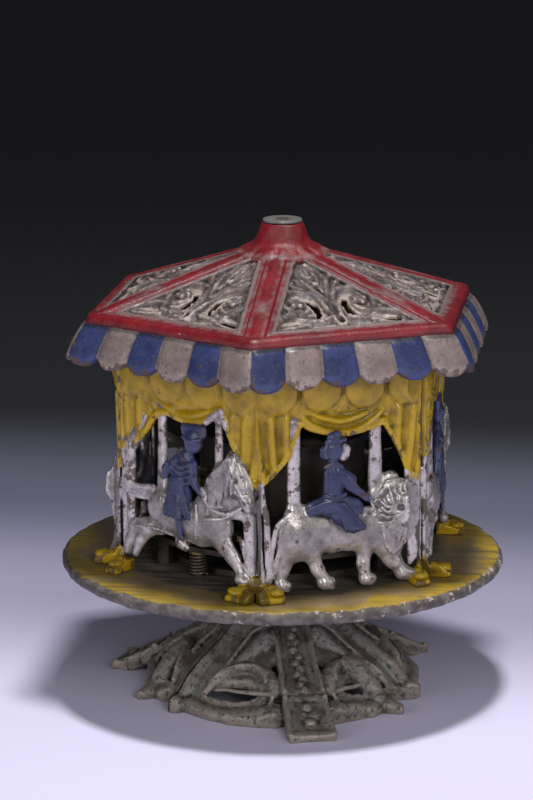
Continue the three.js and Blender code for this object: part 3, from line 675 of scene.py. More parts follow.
# ---- Wall panels ----
# A limb is (across, up, radius, across, up, radius, out from the axis, thickness over width).
LION = [
    (-11.0, 14.6, 5.7, -11.2, 13.4, 5.5, 37.4, .55), (-12.4, 19.2, 2.3, -9.6, 19.5, 2.4, 37.4, .6),
    (-10.0, 15.4, 4.6, -3.0, 13.6, 4.0, 37.5, .55), (-5.0, 13.4, 4.0, 4.0, 13.4, 3.9, 37.6, .55),
    (3.0, 13.6, 4.4, 8.5, 14.0, 5.0, 37.8, .6), (1.6, 17.0, 2.2, 5.8, 17.8, 2.3, 38.8, .5),
    (9.0, 15.0, 5.2, 13.0, 13.6, 4.8, 37.9, .6), (-10.2, 14.4, 4.4, -8.4, 10.8, 2.9, 38.8, .55),
    (-8.2, 10.6, 2.2, -6.8, 6.0, 1.5, 38.8, .8), (-6.8, 6.0, 1.5, -5.2, 3.4, 1.45, 38.9, .8),
    (-5.2, 2.5, 1.7, -3.7, 2.3, 1.6, 39.2, .9), (-13.4, 12.0, 3.2, -15.4, 6.6, 2.0, 37.3, .6),
    (-15.4, 6.6, 1.9, -16.0, 4.0, 1.5, 37.5, .7), (-15.7, 2.8, 1.4, -14.4, 2.3, 1.3, 38.2, .8),
    (5.8, 11.0, 2.5, 5.2, 5.8, 1.5, 38.2, .8), (5.2, 5.8, 1.5, 5.6, 3.2, 1.3, 38.4, .8),
    (5.6, 2.3, 1.7, 6.9, 2.0, 1.5, 38.9, .9), (9.4, 11.4, 3.2, 12.6, 6.4, 2.1, 38.6, .8),
    (12.6, 6.4, 2.1, 14.9, 3.6, 1.6, 38.8, .8), (14.9, 2.8, 1.7, 16.8, 2.5, 1.5, 39.2, .9),
    (14.9, 19.4, 6.1, 14.6, 19.0, 6.0, 38.0, .5), (8.6, 22.4, 2.2, 12.4, 25.8, 2.2, 37.4, .6),
    (11.6, 14.0, 4.2, 12.6, 9.6, 2.8, 38.6, .6),
]
LION_RIDER = [
    (-8.3, 21.0, 1.5, -3.4, 21.4, 2.5, 38.2, .7), (-3.5, 21.4, 3.1, 2.4, 19.8, 2.7, 38.6, .7),
    (-0.9, 19.2, 2.7, 2.2, 15.8, 2.0, 39.2, .7), (2.2, 15.6, 1.8, 5.4, 15.0, 0.9, 39.6, .8),
    (-2.6, 23.6, 2.6, -2.7, 28.4, 2.3, 38.4, .8), (-2.8, 29.4, 1.9, -2.7, 32.2, 1.2, 38.4, .8),
    (-2.7, 34.2, 2.2, -2.5, 34.8, 2.2, 38.5, .8), (-4.7, 34.6, 1.3, -4.9, 33.6, 1.1, 38.2, .8),
    (-2.8, 37.4, 1.5, -1.7, 38.2, 1.0, 38.5, .9), (-4.4, 36.6, 0.6, 0.1, 36.9, 0.6, 38.8, 1.6),
    (-0.9, 28.4, 1.8, 1.2, 26.8, 2.0, 39.2, .8), (1.4, 25.6, 1.3, 5.4, 22.6, 0.8, 39.4, .9),
    (5.6, 22.4, 0.9, 6.4, 22.0, 0.8, 39.4, .9),
]
LION_POLES = [(-12.2, 20.5, 1.7, -12.2, 41.5, 1.6, 37.0, .6), (8.6, 25.4, 1.9, 8.6, 40.5, 1.35, 37.0, .6),
              (0.2, 33.0, 1.5, 0.4, 34.4, 1.5, 37.9, .6)]
HORSE = [
    (-6.6, 17.4, 5.0, -3.0, 16.2, 5.0, 37.5, .55), (-3.0, 16.2, 5.0, 5.0, 15.2, 5.0, 37.6, .55),
    (5.0, 15.2, 5.2, 9.4, 16.0, 4.9, 37.7, .6), (-15.6, 11.6, 1.8, -8.0, 12.8, 2.4, 37.4, .6),
    (7.6, 19.6, 4.6, 12.4, 27.4, 4.0, 37.6, .6), (12.4, 27.4, 3.9, 14.4, 30.8, 2.6, 37.8, .6),
    (12.8, 22.8, 2.8, 17.6, 25.4, 3.2, 37.4, .5), (15.4, 31.4, 2.2, 17.6, 27.0, 2.4, 38.8, .7),
    (17.6, 27.0, 2.2, 20.0, 22.3, 1.6, 38.9, .8), (15.6, 27.6, 2.4, 16.0, 26.4, 2.2, 38.9, .7),
    (14.3, 33.4, 0.9, 14.8, 34.8, 0.5, 38.6, .8), (9.4, 14.8, 3.4, 14.6, 9.4, 1.9, 38.4, .7),
    (14.6, 9.4, 1.8, 18.0, 5.6, 1.3, 38.4, .8), (17.6, 4.4, 1.4, 18.8, 4.0, 1.3, 38.8, .9),
    (19.1, 18.6, 1.2, 19.2, 4.6, 1.1, 37.6, .7), (12.0, 19.8, 1.7, 19.2, 19.6, 1.2, 37.6, .7),
    (-15.6, 11.4, 1.7, -17.4, 7.6, 1.3, 37.4, .7), (-17.4, 7.6, 1.2, -18.4, 4.6, 1.0, 37.6, .8),
    (-11.6, 11.6, 2.3, -13.8, 8.4, 1.3, 38.0, .7), (-13.8, 8.4, 1.3, -15.4, 4.8, 1.0, 38.1, .8),
    (-1.2, 9.8, 1.5, 0.4, 8.8, 1.0, 38.2, .8),
]
HORSE_RIDER = [
    (0.9, 31.0, 2.3, -0.4, 27.0, 2.7, 38.4, .8), (-0.8, 26.0, 2.7, -1.0, 20.4, 3.7, 38.5, .7),
    (-1.6, 30.0, 1.7, -4.8, 27.6, 1.5, 38.8, .9), (-4.8, 27.6, 1.4, -5.5, 26.0, 0.9, 38.8, .9),
    (2.8, 29.6, 1.7, 3.2, 26.8, 1.4, 38.8, .9), (3.0, 26.4, 1.3, 6.9, 22.3, 0.8, 39.2, .9),
    (3.0, 35.2, 2.6, 3.1, 36.0, 2.6, 38.3, .8), (0.9, 37.6, 1.4, 5.6, 37.7, 1.4, 38.2, .9),
    (0.2, 38.7, 0.8, 6.2, 38.9, 0.8, 38.4, 1.3), (1.6, 32.6, 1.3, 2.4, 33.6, 1.3, 38.3, .8),
    (-0.3, 18.2, 1.1, 0.1, 12.4, 0.8, 40.6, .9), (0.1, 11.9, 0.8, 0.8, 11.4, 0.6, 40.6, .9),
]
HORSE_POLES = [(-7.2, 21.0, 1.9, -7.4, 32.0, 1.3, 37.0, .6), (-7.4, 32.0, 1.2, -7.4, 42.0, 1.4, 37.0, .6),
               (10.0, 27.0, 1.3, 9.9, 43.0, 1.0, 37.0, .6), (6.6, 40.6, 0.9, 11.0, 43.8, 0.9, 37.6, .8),
               (11.0, 43.8, 0.9, 12.6, 40.4, 0.9, 37.6, .8)]
# The curtain's lower edge: (across, up).
LION_EDGE = [(-22.5, 26.4), (-19.5, 28.0), (-16.0, 31.1), (-13.5, 34.3), (-10.8, 40.9), (-8.0, 39.6),
             (-5.0, 38.6), (0.0, 37.7), (5.0, 38.1), (10.0, 39.7), (11.0, 39.3), (13.5, 35.1), (16.0, 30.0),
             (17.6, 26.2), (20.0, 24.9), (22.5, 25.4)]
HORSE_EDGE = [(-22.5, 29.6), (-18.6, 31.0), (-15.5, 32.4), (-12.4, 35.2), (-9.4, 39.2), (-6.5, 40.8),
              (-3.0, 40.0), (0.5, 39.4), (5.0, 40.0), (8.0, 41.6), (11.0, 43.6), (12.5, 40.2), (15.5, 34.0),
              (19.0, 28.8), (22.5, 26.0)]
CURTAIN_FRONT = 37.6
SWAG_HALF, SWAG_DROP = 10.8, 5.2            # the middle swag's half width, and how far it hangs
SWAG_PITCH = 3.1                            # height of one of its folds
SIDE_FOLDS = 3.2                            # folds across each side curtain
CUPS = [-16.5, -5.5, 5.5, 16.5]             # middles of the cups over the curtain
# A cup's half width, the depth of its bowl and the height where the bowl starts.
CUP_HALF, CUP_DROP, CUP_LINE = 4.9, 5.4, 49.4


def drapery(u, v, depth):
    """How far out the curtain's face is: folds hanging from a row of cups, depth times as bold."""
    side = step_up(np.abs(u), 9.5, 12.5)
    swag = v + SWAG_DROP * (1 - (u / SWAG_HALF) ** 2)
    relief = (1 - side) * 0.62 * np.cos(2 * math.pi * swag / SWAG_PITCH) * step_up(44.6 - v, 0, 2)
    lean = (np.abs(u) - 10.6) / (12.2 - 0.012 * (46 - v) ** 2 * 0.6)
    relief = relief + side * 0.72 * np.cos(2 * math.pi * lean * SIDE_FOLDS) * step_up(46 - v, 0, 4)
    relief = relief - 0.6 * np.exp(-((np.abs(u) - 11) / 0.7) ** 2)
    for centre in CUPS:
        across = (u - centre) / CUP_HALF
        down = np.minimum(v - CUP_LINE, 0) / CUP_DROP
        bowl = across ** 2 + down ** 2
        relief = relief + 2.6 * np.clip(1.1 - bowl, 0, 1) ** 0.7
        relief = relief + 0.3 * np.exp(-((np.sqrt(bowl) - 1.3) / 0.2) ** 2)
    return CURTAIN_FRONT + depth * relief


def press_curtain(clay, edge, depth):
    """A plate with a draped face, down to the curtain's lower edge."""
    cuts, (u, v, w) = clay.window((-30, 20, 0), (30, 99, 99))
    hem = (look_up(u, edge) - v) * 0.75
    flat = np.maximum(w - drapery(u, v, depth), WALL_BACK - w)
    flat = np.maximum(flat, v - WALL_HEIGHT)
    clay.merge("yellow", cuts, np.maximum(flat, hem), 0.0)
    path = [(x, y + 0.5, CURTAIN_FRONT - 0.1) for x, y in edge]
    clay.strand("yellow", path, 0.7, 0.7, steps=3, thin=(1, 1, .8), blend=0.5)


def press_limbs(clay, paint, limbs, blend):
    """Adds a list of limbs in one paint."""
    for u0, v0, r0, u1, v1, r1, w, thin in limbs:
        clay.limb(paint, (u0, v0, w), r0, (u1, v1, w), r1, (1, 1, thin), blend)


def press_feet(clay):
    """Thin backs to the corner posts, with rough yellow blocks at their feet."""
    for side in (-1, 1):
        clay.limb("silver", (side * 21.2, 2, 36.2), 1.0, (side * 21.2, 27, 36.2), 1.1, (1, 1, .6), 0.3)
        cuts, (u, v, w) = clay.window((side * 20 - 6, 0, 35), (side * 20 + 6, 9, 46))
        across, away = np.abs(u - side * 19.9) - 3.1, np.abs(w - 40.4) - 3.4
        block = np.maximum(np.maximum(across, away), v - 2.3 + 0.25 * (w - 40.4) + 0 * u)
        clay.merge("yellow", cuts, block, 0.6)
        clay.limb("yellow", (side * 20.6, 1.6, 37.6), 1.7, (side * 20.8, 4.4, 37.4), 1.1, (1, 1, .8), 0.8)
        clay.limb("yellow", (side * 22.6, 1.4, 42.0), 1.5, (side * 18.6, 2.2, 39.4), 1.3, blend=0.8)


def press_lion(clay):
    """The lion's locks of mane, its face, tail and toes, the fringe before it and the post behind."""
    face, nose = clay.face(), np.array([15.9, 18.7])
    lock = partial(clay.lay, "silver", face, blend=0.15)
    dent = partial(clay.lay, None, face)
    for ring, (inner, outer, count, size) in enumerate([(3.2, 7.0, 25, 0.52), (1.4, 4.5, 16, 0.48)]):
        for i in range(count):
            a = 2 * math.pi * (i + 0.5 * ring) / count
            way = np.array([math.cos(a), math.sin(a)])
            swirl = np.array([-way[1], way[0]])
            reach = outer + 0.7 * math.sin(2.4 * i)
            middle = nose + way * (inner + outer) / 2 + swirl * 0.9
            points = [nose + way * inner, middle, nose + way * reach - swirl * 0.2]
            lock(points, size, 0.6 * size, 0.25 + 0.35 * ring)
    for i in range(10):
        u = 9.4 + i * 0.85
        tip = 12.4 + (u - 12.6) * 0.45
        bend = (0.6 * u + 0.4 * tip + 0.3 * math.sin(3 * i), 11.4)
        lock([(u, 15.2), bend, (tip, 8.0 + 0.3 * abs(i - 4))], 0.5, 0.4, 0.1)
    for i in range(6):
        u = 16.6 + i * 0.9
        top = (u + 0.4 * math.sin(5 * i), 27.6 - 0.5 * i)
        points = [top, (u + 0.5, 17), (17.6 + i * 0.62, 4.5 + 0.6 * i)]
        clay.cord(points, 37.5, 0.6, 0.6, steps=6, blend=0.15)
    for i in range(7):
        root, bend = (7.4 + i * 0.6, 20.2 + i * 0.9), (9.6 + i * 0.7, 23.4 + i * 0.4)
        lock([root, bend, (11.6 + i * 0.8, 24.4 + i * 0.1)], 0.45, 0.55, 0.15)
    lock([(15.4, 21.6), (15.6, 18.8), (16.0, 17.0)], 1.0, 1.3, 0.8, blend=0.4)
    for side in (-1, 1):
        lock([(16.1 + side * 1.0, 16.8), (16.1 + side * 1.5, 16.0)], 0.85, 0.75, 0.9, blend=0.3)
        dent([(15.6 + side * 1.5, 19.4), (15.6 + side * 2.1, 19.5)], 0.7, 0.6, 0.9)
    dent([(14.8, 15.0), (16.2, 14.8), (17.4, 15.2)], 0.45, 0.45, 0.7)
    clay.cord([(-14.2, 19.4), (-16.7, 17.3), (-17.7, 13.5), (-18.4, 9.8), (-18.6, 5)], 38.0, 0.55, 0.75)
    clay.cord([(-14.0, 17.6), (-15.2, 13.5), (-16.7, 9.3), (-17.9, 5)], 38.0, 0.55, 0.75)
    post = [(-20.8, 27.5), (-20.3, 22.8), (-19.5, 19.8), (-19.3, 14.8), (-19.1, 9.8), (-18.8, 4)]
    clay.cord(post, 38.0, 0.75, 0.75)
    clay.cord([(-21.5, 24), (-21.4, 20.8), (-21.2, 17.3), (-20.9, 9.8), (-20.1, 3)], 38.0, 0.5, 0.5)
    for u, v in ((-3.3, 2.3), (7.4, 2.0), (17.3, 2.4)):
        for toe in (-0.6, 0, 0.6):
            dent([(u + toe, v), (u + toe + 0.3, v - 1.0)], 0.22, 0.2)
    for u in (4.4, 6.3):
        dent([(u, 18.7), (u + 0.2, 18.6)], 0.5, 0.4, 0.1)


def press_lion_rider(clay):
    """Folds of the side-saddle skirt, a sash, sleeves and reins."""
    face = clay.face()
    fold = partial(clay.lay, "blue", face, blend=0.2)
    for i in range(6):
        t = i / 5
        hem = (0.4 + 4.4 * t, 15.0 + 0.3 * t)
        fold([(-2.8 + 2.4 * t, 21.8), (-1.4 + 3.2 * t, 18.8), hem], 0.35, 0.5, 0.1)
    for i in range(5):
        fold([(-2.8, 22.4 - i * 0.6), (-6.0, 22.0 - i * 0.6), (-9.2, 20.6 - i * 0.3)], 0.4, 0.35)
    fold([(-5.0, 24.0), (-2.6, 23.2), (0.2, 23.8)], 0.45, 0.45, 0.1)
    fold([(-4.9, 30.6), (-2.7, 31.3), (-0.6, 30.4)], 0.5, 0.5)
    for i in range(3):
        fold([(-3.6 + i, 30.2), (-3.4 + 0.9 * i, 27), (-3.2 + 0.8 * i, 24.4)], 0.3, 0.3)
    fold([(0.6, 28.6), (2.2, 26.4), (4.8, 23.2)], 0.4, 0.35, 0.15)
    fold([(-4.6, 35.6), (-5.0, 34.2), (-4.6, 33.0)], 0.6, 0.6, 0.1, blend=0.3)
    clay.lay("silver", face, [(6.4, 22.2), (7.6, 19.4), (8.4, 15.4)], 0.3, 0.3, 0.1)


# Cords beside the horse, (across, up): end radii, and distance from the axis.
HORSE_CORDS = [
    ([(-17.4, 31.0), (-17.2, 18), (-17.8, 4.6)], 1.5, 1.0, 37.2),
    ([(-19.2, 32.0), (-19.2, 18), (-19.2, 4.4)], 1.2, 0.9, 37.0),
    ([(-14.8, 34.6), (-12.6, 39.0)], 1.6, 1.0, 37.0),
    ([(-17.4, 31.6), (-14.8, 34.6)], 2.0, 1.6, 37.0),
    ([(20.4, 20.4), (20.4, 14), (20.0, 6)], 1.05, 0.95, 37.2),
    ([(17.2, 13.6), (19, 8.5), (20, 4.6)], 0.6, 0.6, 38),
]
# The horse's bridle, breast strap and head lines: (across, up), end radii and blend.
HORSE_LINES = [
    ([(6.4, 24.6), (9.4, 20.4), (13.6, 19.6), (17.4, 21.6)], 0.6, 0.45, 0.3),
    ([(8.0, 17.6), (12.0, 18.2), (15.0, 19.6)], 0.5, 0.4, 0.3),
    ([(16.4, 25.8), (18.4, 25.0), (20.2, 25.4)], 0.35, 0.35, 0.25),
    ([(15.2, 31.8), (16.4, 29.0), (18.0, 26.4), (19.8, 23.2)], 0.5, 0.4, 0.3),
]


def press_horse(clay):
    """The horse's mane, tail, head, bridle and girth."""
    face = clay.face()
    line = partial(clay.lay, "silver", face)
    for i in range(12):
        t = i / 11
        root = np.array([8.0 + 7.6 * t, 27.0 + 7.4 * t])
        tip = root + (0.2 + 0.6 * math.sin(2 * i), -8.0 + 0.8 * math.sin(3 * i))
        line([root, root + (1.2 - 0.6 * t, -3.4), tip], 0.6, 0.35, 0.15, blend=0.15)
    for i in range(5):
        root, bend = (15.8 + i * 0.6, 34.0 - i * 0.7), (18.2 + i * 0.5, 29.6 - i * 0.6)
        clay.cord([root, bend, (20.4 + i * 0.3, 24.6 - i * 0.5)], 38.2, 0.6, 0.5, blend=0.2)
    for i in range(4):
        points = [(-9.6, 22.4 - i * 0.9), (-14.0, 21.8 - i * 0.8), (-18.6, 23.0 - i * 1.1)]
        clay.cord(points, 38.2, 0.7, 0.65, blend=0.2)
    for points, r0, r1, w in HORSE_CORDS:
        clay.cord(points, w, r0, r1, thin=(1, 1, .6))
    clay.limb("silver", (19.6, 22.6, 37.8), 1.3, (20.8, 21.6, 37.8), 1.2, (1, 1, .8), 0.4)
    for points, r0, r1, blend in HORSE_LINES:
        line(points, r0, r1, 0.1, blend=blend)
    clay.lay(None, face, [(16.8, 28.8), (17.2, 28.4)], 0.55, 0.5, 0.3)
    clay.lay(None, face, [(20.2, 22.4), (20.4, 22.2)], 0.4, 0.35, 0.3)
    line([(-14.6, 11.9), (-9.0, 12.2), (-3.0, 11.6)], 0.35, 0.35, 0.1)
    for u in (-6.4, -5.6, 4.4):
        line([(u, 20.4), (u + 0.6, 16.4), (u + 0.2, 12.2)], 0.3, 0.3)


def press_horse_rider(clay):
    """Folds of the rider's coat, a collar, a hat brim and reins."""
    face = clay.face()
    fold = partial(clay.lay, "blue", face, blend=0.2)
    for i in range(7):
        t = i / 6
        hem = (-4.8 + 7.8 * t, 16.6 + 0.8 * abs(t - 0.5))
        fold([(-2.8 + 3.2 * t, 26.2), (-4.0 + 5.4 * t, 20.6), hem], 0.45, 0.6, 0.1)
    for i in range(3):
        fold([(-2.8, 30.4 - i * 1.4), (0.0, 29.2 - i * 1.4), (3.0, 30.2 - i * 1.4)], 0.4, 0.4)
    fold([(-4.2, 29.4), (-5.2, 27.4), (-4.6, 25.8)], 0.5, 0.4, 0.1)
    fold([(-3.4, 25.4), (-0.8, 24.6), (2.2, 25.4)], 0.5, 0.5, 0.1)
    fold([(3.4, 28.6), (4.4, 25.6), (6.6, 22.6)], 0.35, 0.3, 0.1)
    fold([(0.6, 36.4), (3.2, 35.8), (5.8, 36.4)], 0.45, 0.45, 0.1)
    clay.lay("silver", face, [(6.9, 22.4), (9.6, 21.0), (12.4, 21.0)], 0.3, 0.3, 0.1)


# What differs between the panels: the curtain's edge and boldness, the limbs, and the slimmer end.
PANELS = {
    "horse": (HORSE_EDGE, 0.5, HORSE_POLES, HORSE, press_horse, HORSE_RIDER, press_horse_rider, -1),
    "lion": (LION_EDGE, 1.0, LION_POLES, LION, press_lion, LION_RIDER, press_lion_rider, 1),
}


OVERLAP = 0.12                              # how far a panel's end runs past its mitre
SLIM_END = 20.5                             # where the slim end stops short of the corner


def cut_ends(clay, slim):
    """Cuts the panel's ends where it meets its neighbours, one end slimmer, and its back flat."""
    for field in clay.fields.values():
        u, _, w = np.ix_(*clay.axes)
        mitre = (np.abs(u) - w * SPREAD) * FLAT_OUT - OVERLAP
        square = slim * u - SLIM_END + 0 * w
        chamfer = (w - 38.6 + 0.55 * (slim * u - 18)) * 0.87
        chamfer = np.where(slim * u > 16, chamfer, -FAR)
        ends = np.maximum(np.maximum(mitre, square), WALL_BACK - w)
        field[:] = np.maximum(field, ends)
        above_feet = slice(int(5 / clay.step), None)
        field[:, above_feet] = np.maximum(field[:, above_feet], chamfer)


def pressed_panel(kind):
    """One panel's clay: feet, curtain, poles, animal and rider, each pressed over the last."""
    edge, depth, poles, animal, press_animal, rider, press_rider, slim = PANELS[kind]
    low, high = (-23.4, 0.05, 35.2), (23.4, WALL_HEIGHT + 0.6, 45.4)
    clay = Clay(low, high, WALL_STEP, ["silver", "yellow", "blue"])
    press_feet(clay)
    press_curtain(clay, edge, depth)
    press_limbs(clay, "silver", poles, 0.6)
    press_limbs(clay, "silver", animal, 0.9)
    press_animal(clay)
    press_limbs(clay, "blue", rider, 0.5)
    press_rider(clay)
    cut_ends(clay, slim)
    return clay


def panel_marks(clay, kind, field, place, u, v, w):
    """A panel's marks: hollows and seams, and the paint nearest to each point."""
    seam = step_up(np.abs(u), 20.4, 21.2)
    hollow = 0.75 * hollowness(field, place, 2) + 0.65 * hollowness(field, place, 7) + 0.06
    hollow = hollow * (1 - seam) + 0.5 * seam * step_up(28 - v, 0, 2)
    if kind == "horse":                     # a dark edge at its left end, and a painted shadow behind the foot there
        hollow += 0.8 * step_up(-20.2 - u, 0, 0.4)
        hollow += 1.0 * step_up(5.0 - v, 0, 1) * step_up(-15 - u, 0, 1) * step_up(39 - w, 0, 1)
    # the panel's back is marked fully hollow: painted shade on the side facing the inside
    marks = {"hollow": hollow + step_up(36.4 - w, 0, 0.5)}
    nearest = {name: sample(f, place) for name, f in clay.fields.items()}
    for name in ("yellow", "blue"):
        others = np.minimum.reduce([f for other, f in nearest.items() if other != name])
        marks[name] = np.clip(0.5 + (others - nearest[name]) / 1.2, 0, 1)
    foot = step_up(4.6 - v, 0, 2) * step_up(np.abs(u), 17.6, 18.6)
    marks["yellow"] = np.maximum(marks["yellow"], foot)
    return marks


def wall_panel(kind):
    """Points, quads and marks of one wall panel, standing at azimuth 0."""
    clay = pressed_panel(kind)
    field = clay.whole(0.25)
    place, quads = skin(field)
    u, v, w = (clay.low + place * clay.step).T
    marks = panel_marks(clay, kind, field, place, u, v, w)
    flatter = 1 - RELIEF_CUT * step_up(v, 4, 8)
    w = np.where(w > WALL_FRONT, WALL_FRONT + (w - WALL_FRONT) * flatter, w)
    points = np.stack([u, -w, v + PLATFORM_TOP], axis=1)
    points += 0.07 * unevenness(points, 2.0, 1)
    return points, quads, marks


def add_wall_panels():
    """Three of each panel, turn and turn about."""
    shapes = [(kind, wall_panel(kind)) for kind in PANELS]
    for index, azimuth in enumerate(PANEL_AZIMUTHS):
        kind, (points, quads, marks) = shapes[index % 2]
        number = index // 2 + 1
        add_mesh(f"{kind}_panel_casting_{number}", turn(points, azimuth), quads, MATERIALS["casting"],
                 "carousel", [f"{kind}_panel_{number}"], marks)


def add_rivets():
    """A domed head over each foot lug, thick with paint."""
    head = PLATFORM_TOP + 1.9
    for number in range(1, 2 * SIDES + 1):
        node = f"panel_rivet_{number:02d}"
        low, high = box_mm(node)
        x, y = (low + high)[:2] / 2
        under = low[2]
        tail = [(0.001, under), (1.3, under + 0.1), (1.5, under + 0.8), (0.8, under + 0.9)]
        dome = [(0.8, head), (1.7, head), (1.9, head + 0.5), (1.7, head + 1.0), (1.1, head + 1.3),
                (0.5, head + 1.4), (0.001, head + 1.45)]
        points, quads = lathe(tail + dome, 20)
        points += 0.25 * unevenness(points + number * 9, 1.6, 4)
        # the dome's top is marked as a ridge: paler, rubbed and with a painted highlight
        top = step_up(points[:, 2], head - 1, head)
        add_mesh(f"rivet_head_{number:02d}", points + (x, y, 0), quads, MATERIALS["casting"], "carousel",
                 [node], {"yellow": top, "hollow": -0.2 * top})


# ---- Roof ----
def roof_height(out):
    """Height of the roof's face at a distance out from the axis, square to the eave."""
    return EAVE_Z + (EAVE_APOTHEM - out) * SLOPE


# Scrollwork on one side of a roof panel's middle, (across, out) as drawn: end radii.
SCROLLS = [
    ([(0.4, 35.6), (1.2, 30.5), (1.5, 26.5), (2.6, 23.6), (5.2, 21.9), (8.4, 22.6), (10.4, 25.4),
      (10.2, 28.9), (8.2, 30.9), (5.9, 29.9), (5.6, 27.6), (7.2, 26.6)], 1.0, 0.7),
    ([(2.2, 24.4), (4.6, 20.4), (8.2, 18.6), (9.6, 20.2)], 0.9, 0.6),
    ([(0.2, 26.5), (1.9, 22.0), (2.9, 18.0), (2.4, 14.4), (0.9, 12.4)], 0.9, 0.8),
    ([(0.3, 20.0), (1.4, 17.0), (1.2, 14.2)], 0.8, 0.5),
    ([(2.9, 18.6), (4.8, 16.2), (4.6, 13.2), (3.2, 12.0)], 0.8, 0.6),
    ([(1.0, 33.0), (3.6, 33.8), (6.6, 33.6), (9.2, 32.2)], 0.8, 0.7),
    ([(9.6, 31.0), (12.4, 31.8), (15.0, 33.4), (18.0, 35.4)], 1.1, 0.5),
    ([(10.8, 27.2), (12.8, 29.2), (14.2, 31.6), (16.6, 34.4)], 0.9, 0.5),
    ([(7.6, 34.8), (11.0, 36.0), (16.0, 36.2)], 0.8, 0.5),
    ([(9.8, 23.8), (11.2, 25.6), (12.2, 27.8)], 0.7, 0.5),
    ([(5.4, 19.2), (6.4, 17.2), (6.0, 15.4)], 0.7, 0.4),
    ([(3.0, 29.6), (4.6, 31.4), (6.6, 32.2)], 0.6, 0.5),
]
ROSETTE = (7.9, 28.2)
# Holes in a roof panel: across and out at both ends as drawn, and radius; each has a mirrored twin.
ROOF_HOLES = [
    (4.4, 25.9, 3.5, 27.6, 0.55), (3.5, 27.6, 3.7, 30.6, 0.75), (3.7, 30.6, 4.5, 32.2, 0.4),
    (6.4, 20.0, 8.2, 22.0, 0.45), (10.0, 34.0, 13.8, 34.6, 0.55), (0.0, 21.0, 0.0, 23.4, 0.55),
    (0.0, 33.6, 0.0, 35.0, 0.6), (2.9, 11.2, 2.8, 12.2, 0.4), (13.0, 30.6, 13.8, 31.6, 0.35),
]
DRAWN_FROM = 12                             # the drawing is stretched outward from this distance
DRAWN_STRETCH = (1.07, 1.09)                # across, and outward
# Mouldings round a roof panel: how far in, width and height.
FRAME_RIDGES = [(0.6, 0.35, 0.2), (1.75, 0.34, 0.36)]
FRAME_WIDTH = 2.2
BAND_HALF = 2.4                             # half the width of a rib's flat band
EAVE_BAND = 1.6


def as_built(side, across, out):
    """A drawn place on one side of a roof panel's middle, stretched to the panel's size."""
    return side * across * DRAWN_STRETCH[0], DRAWN_FROM + (out - DRAWN_FROM) * DRAWN_STRETCH[1]


def frame_distance(x, y):
    """How far a point of a roof panel lies inside the red bands that bound it."""
    from_rib = (y * SPREAD - np.abs(x)) * FLAT_OUT - BAND_HALF
    return np.minimum(from_rib, EAVE_APOTHEM - EAVE_BAND - y)


def press_scrolls(clay, side):
    """Leafy scrolls of three ridges each, and a rosette, on one side of a roof panel's middle."""
    for points, r0, r1 in SCROLLS:
        track = np.array([as_built(side, *point) for point in points])
        way = np.gradient(track, axis=0)
        square = np.stack([-way[:, 1], way[:, 0]], axis=1) / np.linalg.norm(way, axis=1)[:, None]
        for shift, share in ((0.0, 0.95), (1.25, 0.5), (-1.25, 0.5)):
            line = track + shift * r0 * square
            path = [(x, y, -0.85 - 0.2 * abs(shift) + 0.3 * math.sin(x + y)) for x, y in line]
            clay.strand("silver", path, share * r0, share * r1, steps=5, blend=0.12)
    middle = (side * ROSETTE[0], ROSETTE[1], -0.4)
    for i in range(5):
        a = 2 * math.pi * i / 5
        petal = (middle[0] + 1.3 * math.cos(a), middle[1] + 1.3 * math.sin(a), -0.5)
        clay.limb("silver", petal, 0.8, middle, 0.7, blend=0.1)


def roof_panel():
    """Points, quads and marks of one pierced roof panel with its moulded frame, standing at azimuth 0."""
    clay = Clay((-24.6, 9.0, -2.4), (24.6, 42.4, 1.6), ROOF_STEP, ["silver"])
    cuts, (x, y, h) = clay.everywhere()
    inside = frame_distance(x, y)
    clay.merge("silver", cuts, np.abs(h + 1.3) - 0.4 + 0 * x * y, 0)
    for side in (-1, 1):
        press_scrolls(clay, side)
        for x0, y0, x1, y1, radius in ROOF_HOLES:
            a, b = (*as_built(side, x0, y0), -1), (*as_built(side, x1, y1), -1)
            clay.limb(None, a, 1.2 * radius, b, 1.2 * radius, (1, 1, 6), 0.2)
    face = 0 * inside
    for reach, width, height in FRAME_RIDGES:
        face = face + height * np.exp(-((inside - reach) / width) ** 2)
    clay.merge("silver", cuts, np.maximum(np.maximum(h - face, -1.8 - h), inside - FRAME_WIDTH), 0.1)
    field = clay.fields["silver"]
    field[:] = np.maximum(field, np.maximum(-1.4 - inside, ROOF_TOP[0] - 1 - y))
    field = clay.whole()
    place, quads = skin(field)
    x, y, h = (clay.low + place * clay.step).T
    inside = frame_distance(x, y)
    scroll = step_up(inside, FRAME_WIDTH - 0.6, FRAME_WIDTH)
    marks = {"hollow": hollowness(field, place, 4), "red": step_up(FRAME_WIDTH - 0.2 - inside, -0.5, 0.5),
             "rubbed": 0.3 + 0.25 * step_up(inside, -0.2, 0.4) + 0.3 * step_up(inside, 1.1, 1.5)}
    points = np.stack([x, -y, roof_height(y) + h], axis=1)
    points += (0.06 + 0.1 * scroll)[:, None] * unevenness(points, 1.3, 7)
    return points, quads, marks


# Half a rib's section: (across, over the roof's face).
RIB_HALF = [(-BAND_HALF - 0.3, -1.6), (-BAND_HALF - 0.25, 0.0), (-BAND_HALF, 0.36),
            (-BAND_HALF + 0.4, 0.46), (-BAND_HALF + 0.9, 0.3), (-0.8, 0.26), (0.0, 0.28)]


